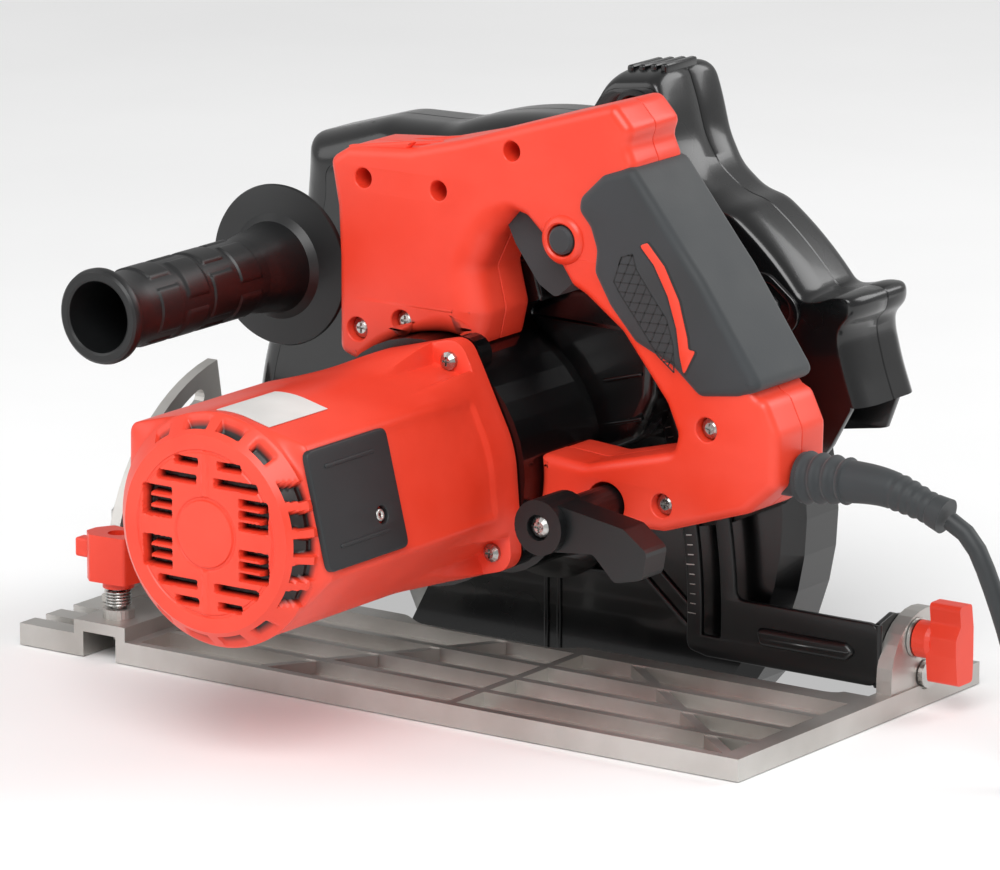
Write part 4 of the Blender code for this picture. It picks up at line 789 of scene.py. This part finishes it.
def crownPath(where):
    # the crown's edge as seen from the side, at the seam, the near wall or the far wall
    front, rear, top, lug = {"seam": (0, 0, 0, 0), "near": (12, 5, 9, 4), "far": (8, 8, 7, 8)}[where]
    path = guardArc(-4, 33, 10, front)
    path += [(125 - 1.3 * front, 187 - 0.9 * front), (124.5 - 1.2 * front, 198 - 0.9 * front),
             (86 - 0.2 * front, 209 - 0.9 * front)]
    path += guardArc(69, 95, 8, front * 0.8 + 1)
    path += [(-23, 231 - 0.5 * top), (-29, 241.5 - 0.7 * top), (-52, 244.5 - 0.7 * top),
             (-57 + 0.2 * rear, 231 - 0.2 * rear), (-61 + 0.2 * rear, 216.5 - 0.4 * rear),
             (-68 + 0.3 * rear, 205 - 0.6 * rear), (-80 + 0.5 * rear, 196.4 - 0.8 * rear)]
    path += guardArc(126, 143, 7, rear)
    path += [(-132 + 0.8 * lug, 163.5 - 0.7 * lug), (-140 + 0.9 * lug, 166 - 0.5 * lug),
             (-147 + lug, 165 - 0.2 * lug), (-147.5 + lug, 158), (-142 + 0.9 * lug, 152)]
    path += [(-142.5 + rear, 146), (-146 + rear, 133), (-150.5 + rear, 121)]
    return path


def smoothedPath(path, radius=5.0):
    # corners cut by quadratic curves: a (1 - t)^2 + 2 p t (1 - t) + b t^2
    p = np.asarray(path, float)
    made = [p[:1]]
    for k in range(1, len(p) - 1):
        back, ahead = p[k - 1] - p[k], p[k + 1] - p[k]
        lb, la = np.linalg.norm(back), np.linalg.norm(ahead)
        reach = min(radius, lb * 0.48, la * 0.48)
        t = np.linspace(0, 1, 7)[:, None]
        a, b = p[k] + back / lb * reach, p[k] + ahead / la * reach
        made.append(a * (1 - t) ** 2 + p[k] * 2 * t * (1 - t) + b * t ** 2)
    made.append(p[-1:])
    return np.concatenate(made)


def crownHalf(name, sidePath, fullPath, wallY, seamY, reach, finish, node):
    # section k: out of the wall by a quarter ellipse to the full outline, then level to the seam, 3 mm thick
    g = guard
    way = 1 if seamY > wallY else -1
    t = np.linspace(0, math.pi / 2, 12)
    inward = np.array([g["x"], g["z"]])
    rows = []
    for thick in (0.0, g["wall"]):
        ring = []
        for a in t:
            spot = sidePath + (fullPath - sidePath) * math.sin(a)
            y = wallY + way * (reach * (1 - math.cos(a)) + thick * math.cos(a))
            toward = inward - spot
            toward /= np.linalg.norm(toward, axis=1)[:, None]
            spot = spot + toward * thick * (0.25 + 0.75 * math.sin(a))
            ring.append(np.column_stack([spot[:, 0], np.full(len(spot), y), spot[:, 1]]))
        last = ring[-1].copy()
        last[:, 1] = seamY - way * 0.5
        ring.append(last)
        step = ring[-1].copy()
        step[:, 1] = seamY - way * 0.15
        pull = np.column_stack([inward[0] - step[:, 0], np.zeros(len(step)), inward[1] - step[:, 2]])
        step += pull / np.linalg.norm(pull, axis=1)[:, None] * (0.35 if thick == 0 else 0)
        ring.append(step)
        rows.append(ring)
    loop = rows[0] + rows[1][::-1]
    grid = np.stack(loop, 1)
    count, columns = grid.shape[:2]
    faces = gridFaces(count, columns)
    half = columns // 2
    for base, flip in ((0, 1), ((count - 1) * columns, -1)):
        for k in range(half - 1):
            quad = [base + k, base + k + 1, base + columns - 2 - k, base + columns - 1 - k]
            faces.append(quad[::flip])
    obj = fixOutward(makeMesh(name, grid.reshape(-1, 3) * mm, faces, finish, 40))
    return place(obj, "saw_body", node)


def makeUpperGuard():
    g = guard
    seam, near, far = (smoothedPath(crownPath(k)) for k in ("seam", "near", "far"))
    crownHalf("guard_crown_near", near, seam, g["near"], g["seam"], g["nearRound"], "blackGloss", "upper_guard")
    crownHalf("guard_crown_far", far, seam, g["far"], g["seam"], g["farRound"], "blackGloss",
              "upper_guard_cover")
    hub = arcPoints((0, 69), 38, 190, 340, 14)
    nose = arcPoints((155, 28), 9, -90, 60, 8)
    lower = [(-136, 104), (-114, 78), (-88, 66), (-60, 60)] + hub + [(60, 52), (143, 22)] + nose
    outline = near[::2].tolist() + lower
    holes = [circleLoop((0, 69), 27.4, 72), circleLoop((155, 28), 4.2), circleLoop((-42.6, 227.3), 6.5),
             circleLoop((-75, 86), 4.4), circleLoop((89, 159.5), 4.7)]
    wall = plate("guard_wall_near", outline, g["near"] - g["wall"], g["near"] + 0.02, "blackGloss", edge=0.3,
                 lowEdge=0.3, corner=0.6, holes=holes, spacing=2.5, steps=2)
    place(wall, "saw_body")
    lowerFar = [(-136, 104), (-60, 92), (70, 70), (140, 58)]
    outer = plate("guard_wall_far", far[::2].tolist() + lowerFar, g["far"] - 0.02, g["far"] + g["wall"],
                  "blackGloss", edge=0.3, lowEdge=0.3, corner=0.6, spacing=2.5, steps=2)
    place(outer, "saw_body")
    for name, spots in (("front", ((92, 203.0), (99, 200.9), (106, 198.8), (113, 196.7))),
                        ("rear", ((-34, 240.2), (-39.5, 241.0), (-45, 241.8), (-50, 242.4)))):
        for k, (x, z) in enumerate(spots):
            bar = plate("guard_ridge_" + name + "_" + "abcd"[k], [(x - 1.6, z - 4), (x + 1.6, z - 4),
                        (x + 1.6, z + 3.6), (x - 1.6, z + 3.6)], -58, -36, "blackGloss", edge=1.0, lowEdge=1.0,
                        corner=1.2, spacing=0.8, steps=3)
            place(bar, "saw_body")
    sleeve = [(6.4, -27.5), (6.4, -25.6), (7.0, -25.0), (8.6, -25.2), (9.2, -26.0), (9.2, -27.5)]
    eye = turnedPiece("guard_top_eye", sleeve, (-42.6, 0, 227.3), "Y", "blackGloss", 56, closed=True)
    place(eye, "saw_body")
    obround = [(-108 + 9 * math.cos(a) + 4.2 * c, 158.4 + 9 * math.sin(a) + 3.2 * c)
               for c, first in ((1, -math.pi / 2), (-1, math.pi / 2))
               for a in np.linspace(first, first + math.pi, 14) + 0.65]
    inner = (np.asarray(obround) - (-108, 158.4)) * 0.66 + (-108, 158.4)
    place(plate("guard_slot_rim", obround, -27.3, -25.4, "blackGloss", edge=0.9, lowEdge=0.1, corner=0.8,
                holes=[inner], spacing=0.8, steps=4, holeEdge=0.7), "saw_body")
    place(plate("guard_slot_key", (inner - (-108, 158.4)) * 0.45 + (-108, 158.4), -27.3, -25.8, "blackGloss",
                edge=0.6, lowEdge=0.1, corner=0.6, spacing=0.7, steps=3), "saw_body")
    for k, (x, z) in enumerate(((-113.5, 127.5), (-117, 110.8))):
        rim = [(2.6, -27.3), (2.6, -24.6), (3.0, -24.0), (5.4, -24.2), (6.0, -25.0), (6.2, -27.3)]
        place(turnedPiece("guard_screw_boss_" + "ab"[k], rim, (x, 0, z), "Y", "blackGloss", 40, closed=True),
              "saw_body")


makeUpperGuard()
print("upper guard")

# side handle: a flared end, a patterned barrel and a thin disc

def barrelShape(angle, radius, height):
    # shallow panels round the barrel: the radius drops inside each panel's soft edges
    turn = np.mod(angle * 4 / (2 * math.pi) + 0.5 * (np.floor((height - 62) / 17) % 2), 1)
    panel = smoothStep(0.10, 0.14, turn) * smoothStep(0.90, 0.86, turn)
    rows = np.mod((height - 62) / 17, 1)
    band = smoothStep(0.08, 0.13, rows) * smoothStep(0.92, 0.87, rows)
    inside = (height > 63) & (height < 129)
    return radius + np.where(inside & (radius > 15), 0.75 * panel * band, 0), height


sideHandleAt = (89, 0, 159.5)   # the side handle's axis runs along Y through this point, in mm


def makeSideHandle():
    barrel = [(15.2, y) for y in np.arange(58, 134.1, 0.75)]
    profile = [(4.1, 30), (4.1, 30.02), (31.6, 30), (32.6, 30.6), (32.9, 31.6), (32.4, 32.6), (30, 33.2),
               (21.5, 34.6), (18.6, 37), (17.4, 42), (16.6, 50), (16.0, 54)]
    profile += barrel
    profile += [(15.4, 136), (15.8, 140), (16.8, 143.4), (18.4, 144.8), (19.0, 145.8), (19.1, 147.6),
                (18.6, 149.2), (17.6, 150), (15.2, 150), (14.3, 149.4), (14.0, 148.4), (14.0, 60),
                (12.5, 52), (0.01, 50)]
    body = turnedPiece("side_handle_grip", profile, sideHandleAt, "Y", "blackNylon", 128, barrelShape,
                       smooth=30)
    place(body, "saw_body", "side_handle")
    stud = [(0.01, -36), (3.6, -36), (4.0, -35), (4.0, 31), (0.01, 31)]
    place(turnedPiece("side_handle_stud", stud, sideHandleAt, "Y", "zincSteel", 32), "saw_body")


makeSideHandle()
print("side handle")

# brackets, a spring, ridges, ribs and small fittings

def makeRearBracket():
    pivot, reach = (155, 28), 237.2
    outline = arcPoints(pivot, reach + 11.5, 155.2, 177.6, 14)
    outline += [(-96, 36.5), (-161, 36.5), (-161, 11), (-80, 11), (-71.5, 13)]
    outline += arcPoints(pivot, reach - 11.5, 183, 155.2, 14)
    slot = arcPoints(pivot, reach + 4.6, 157.4, 182.0, 26) + arcPoints(pivot, reach - 4.6, 182.0, 157.4, 26)
    upright = plate("rear_bracket_upright", outline, -26.5, -24, "blackSteel", edge=0.6, lowEdge=0.4,
                    holes=[slot], corner=5, spacing=1.6, steps=3)
    place(upright, "bevel_carriage", "rear_bracket")
    raised = [(-104, 27.2), (-106, 20.0), (-147, 20.0), (-151, 23.5), (-147, 27.2)]
    place(plate("bracket_swage", raised, -24.2, -21.9, "blackSteel", edge=2.0, lowEdge=0.1, corner=3,
                spacing=1, steps=6), "bevel_carriage")
    bolt = (-47 + 17 * math.cos(math.radians(69.4)), 13 + 17 * math.sin(math.radians(69.4)))
    flange = arcPoints((-47, 13), 8, 180, 300, 10) + [(-24.6, 10.5), (-24.6, 36), (-36, 39)]
    flange += arcPoints(bolt, 8.5, 90, 150, 6)
    place(plate("rear_bracket_flange", flange, -160.7, -158.2, "blackSteel", edge=0.5, lowEdge=0.5, plane="YZ",
                holes=[circleLoop((-47, 13), 3.4), circleLoop(bolt, 3.3)], corner=1, spacing=1.2, steps=3),
          "bevel_carriage")
    fold = [(-160.2, -25.6, z) for z in np.linspace(10.9, 36.1, 8)]
    place(sweptPiece("bracket_fold", fold, 1.5, "blackSteel", 24, up=(0, 1, 0)), "bevel_carriage")
    ticks = []
    for k, a in enumerate(np.linspace(160, 180, 21)):
        inner = reach - (9.8 if k % 5 else 11.0)
        ticks.append(tuple((155 + r * math.cos(math.radians(a)), 28 + r * math.sin(math.radians(a)))
                           for r in (inner, reach - 7.2)))
    place(strokes("depth_scale_ticks", ticks, 0.4, -24.05, -23.85, "zincSteel"), "bevel_carriage")


def makeFenceSpring():
    turns = 5.0
    t = np.linspace(0, 1, 160)
    angle = 2 * math.pi * turns * t
    path = np.stack([140 + 4.7 * np.cos(angle), 74 + 4.7 * np.sin(angle), 20.2 + 6.4 * t], 1)
    place(sweptPiece("fence_coil_spring", path, 0.6, "zincSteel", 12), "base", "fence_spring")


def makeGuardRidges():
    bars = [[(-1.6, 34), (-1.6, -30)], [(4.6, 34), (4.6, -30)], [(-46, 44), (-70, 24)], [(-41, 39), (-65, 19)],
            [(58, 24), (30, 34)], [(-30, 36), (30, 36)]]
    for k, ((x0, z0), (x1, z1)) in enumerate(bars):
        side = np.array([-(z1 - z0), x1 - x0]) / math.hypot(x1 - x0, z1 - z0) * 1.0
        outline = [(x0 - side[0], z0 - side[1]), (x1 - side[0], z1 - side[1]), (x1 + side[0], z1 + side[1]),
                   (x0 + side[0], z0 + side[1])]
        ridge = plate("lower_guard_ridge_" + "abcdef"[k], outline, -34.6, -33.1, "blackGloss", edge=0.9,
                      lowEdge=0.1, corner=0.9, spacing=0.9, steps=4)
        place(ridge, "lower_guard")


def makeGearShroud():
    outline = [(-2, 146), (-26, 159), (-46, 162), (-58, 154), (-67, 138), (-66, 118), (-58, 100), (-42, 92),
               (-30, 110), (-16, 134)]
    place(plate("gear_case_shroud", outline, -27.2, -5, "blackGloss", edge=5, lowEdge=0.2, corner=7, steps=7),
          "saw_body")
    block = [(8, 146), (-19, 153), (-14, 170), (10, 163)]
    place(plate("gear_case_block", block, -27.2, 3, "blackGloss", edge=1.6, lowEdge=0.2, corner=2, steps=4),
          "saw_body")
    for k, level in enumerate((104, 122)):
        rib = [(-44, level), (-62, level + 5), (-62, level + 6.6), (-43, level + 1.6)]
        place(plate("gear_case_rib_" + "ab"[k], rib, -6, -3.4, "blackGloss", edge=0.7, lowEdge=0.1, corner=0.7,
                    spacing=0.8, steps=3), "saw_body")


def makeLabel():
    # a blank plate wrapped on the housing: radius of the housing's hull plus 0.12, then 0.4 mm
    pads = motor["pads"]
    angle = np.radians(np.linspace(84, 116, 25))
    base = hullRadius(angle, [(0, 0)] + pads, [45.2] + [4.6] * 4)
    y = np.linspace(139, 176, 20)
    a, yy = np.meshgrid(angle, y)
    layers = []
    for lift in (0.12, 0.42):
        r = np.repeat((base + lift)[None], len(y), 0)
        layers.append(np.stack([motor["x"] + r * np.cos(a), yy, motor["z"] + r * np.sin(a)], -1))
    count = a.size
    faces = gridFaces(20, 25, False) + [f[::-1] for f in gridFaces(20, 25, False, False, count)]
    edge = ([k for k in range(25)] + [r * 25 + 24 for r in range(1, 20)]
            + [19 * 25 + k for k in range(23, -1, -1)] + [r * 25 for r in range(18, 0, -1)])
    faces += [[a0, b0, b0 + count, a0 + count] for a0, b0 in zip(edge, edge[1:] + edge[:1])]
    label = makeMesh("blank_label", np.concatenate(layers).reshape(-1, 3) * mm, faces, "labelFoil")
    place(fixOutward(label), "saw_body")


finishes["labelFoil"] = mouldedPlastic("matteLabelFoil", "#C9C9C6", "#DADAD7", 0.5, strength=0.03)
makeRearBracket()
makeFenceSpring()
makeGuardRidges()
makeGearShroud()
makeLabel()
print("brackets, spring, ridges, shroud and label")

# finishes of the CAD nodes that keep their shape

nodeFinish = {
    "castAluminium": ("sole_plate", "front_quadrant", "bearing_plate"),
    "blackSteel": ("rear_bracket", "front_bracket", "stator"),
    "blackGloss": ("upper_guard", "upper_guard_cover", "gear_case", "lower_guard"),
    "redShell": ("motor_housing", "handle_shell_left", "handle_shell_right", "fence_knob", "rear_bevel_knob"),
    "greyRubber": ("grip_cover", "trigger", "lock_off_button"),
    "blackNylon": ("side_handle", "depth_lever", "brush_cover", "switch", "brush_holder_front",
                   "brush_holder_rear", "cooling_fan"),
    "copper": ("armature_core", "commutator"),
    "carbon": ("carbon_brush_front", "carbon_brush_rear"),
    "bladeSteel": ("saw_blade",),
}
done = {}
for finish, names in nodeFinish.items():
    for name in names:
        done[name] = finish
for name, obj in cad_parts.items():
    for slot in obj.material_slots:
        slot.material = finishes[done.get(name, "zincSteel")]
print("finishes on", len(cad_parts), "nodes")
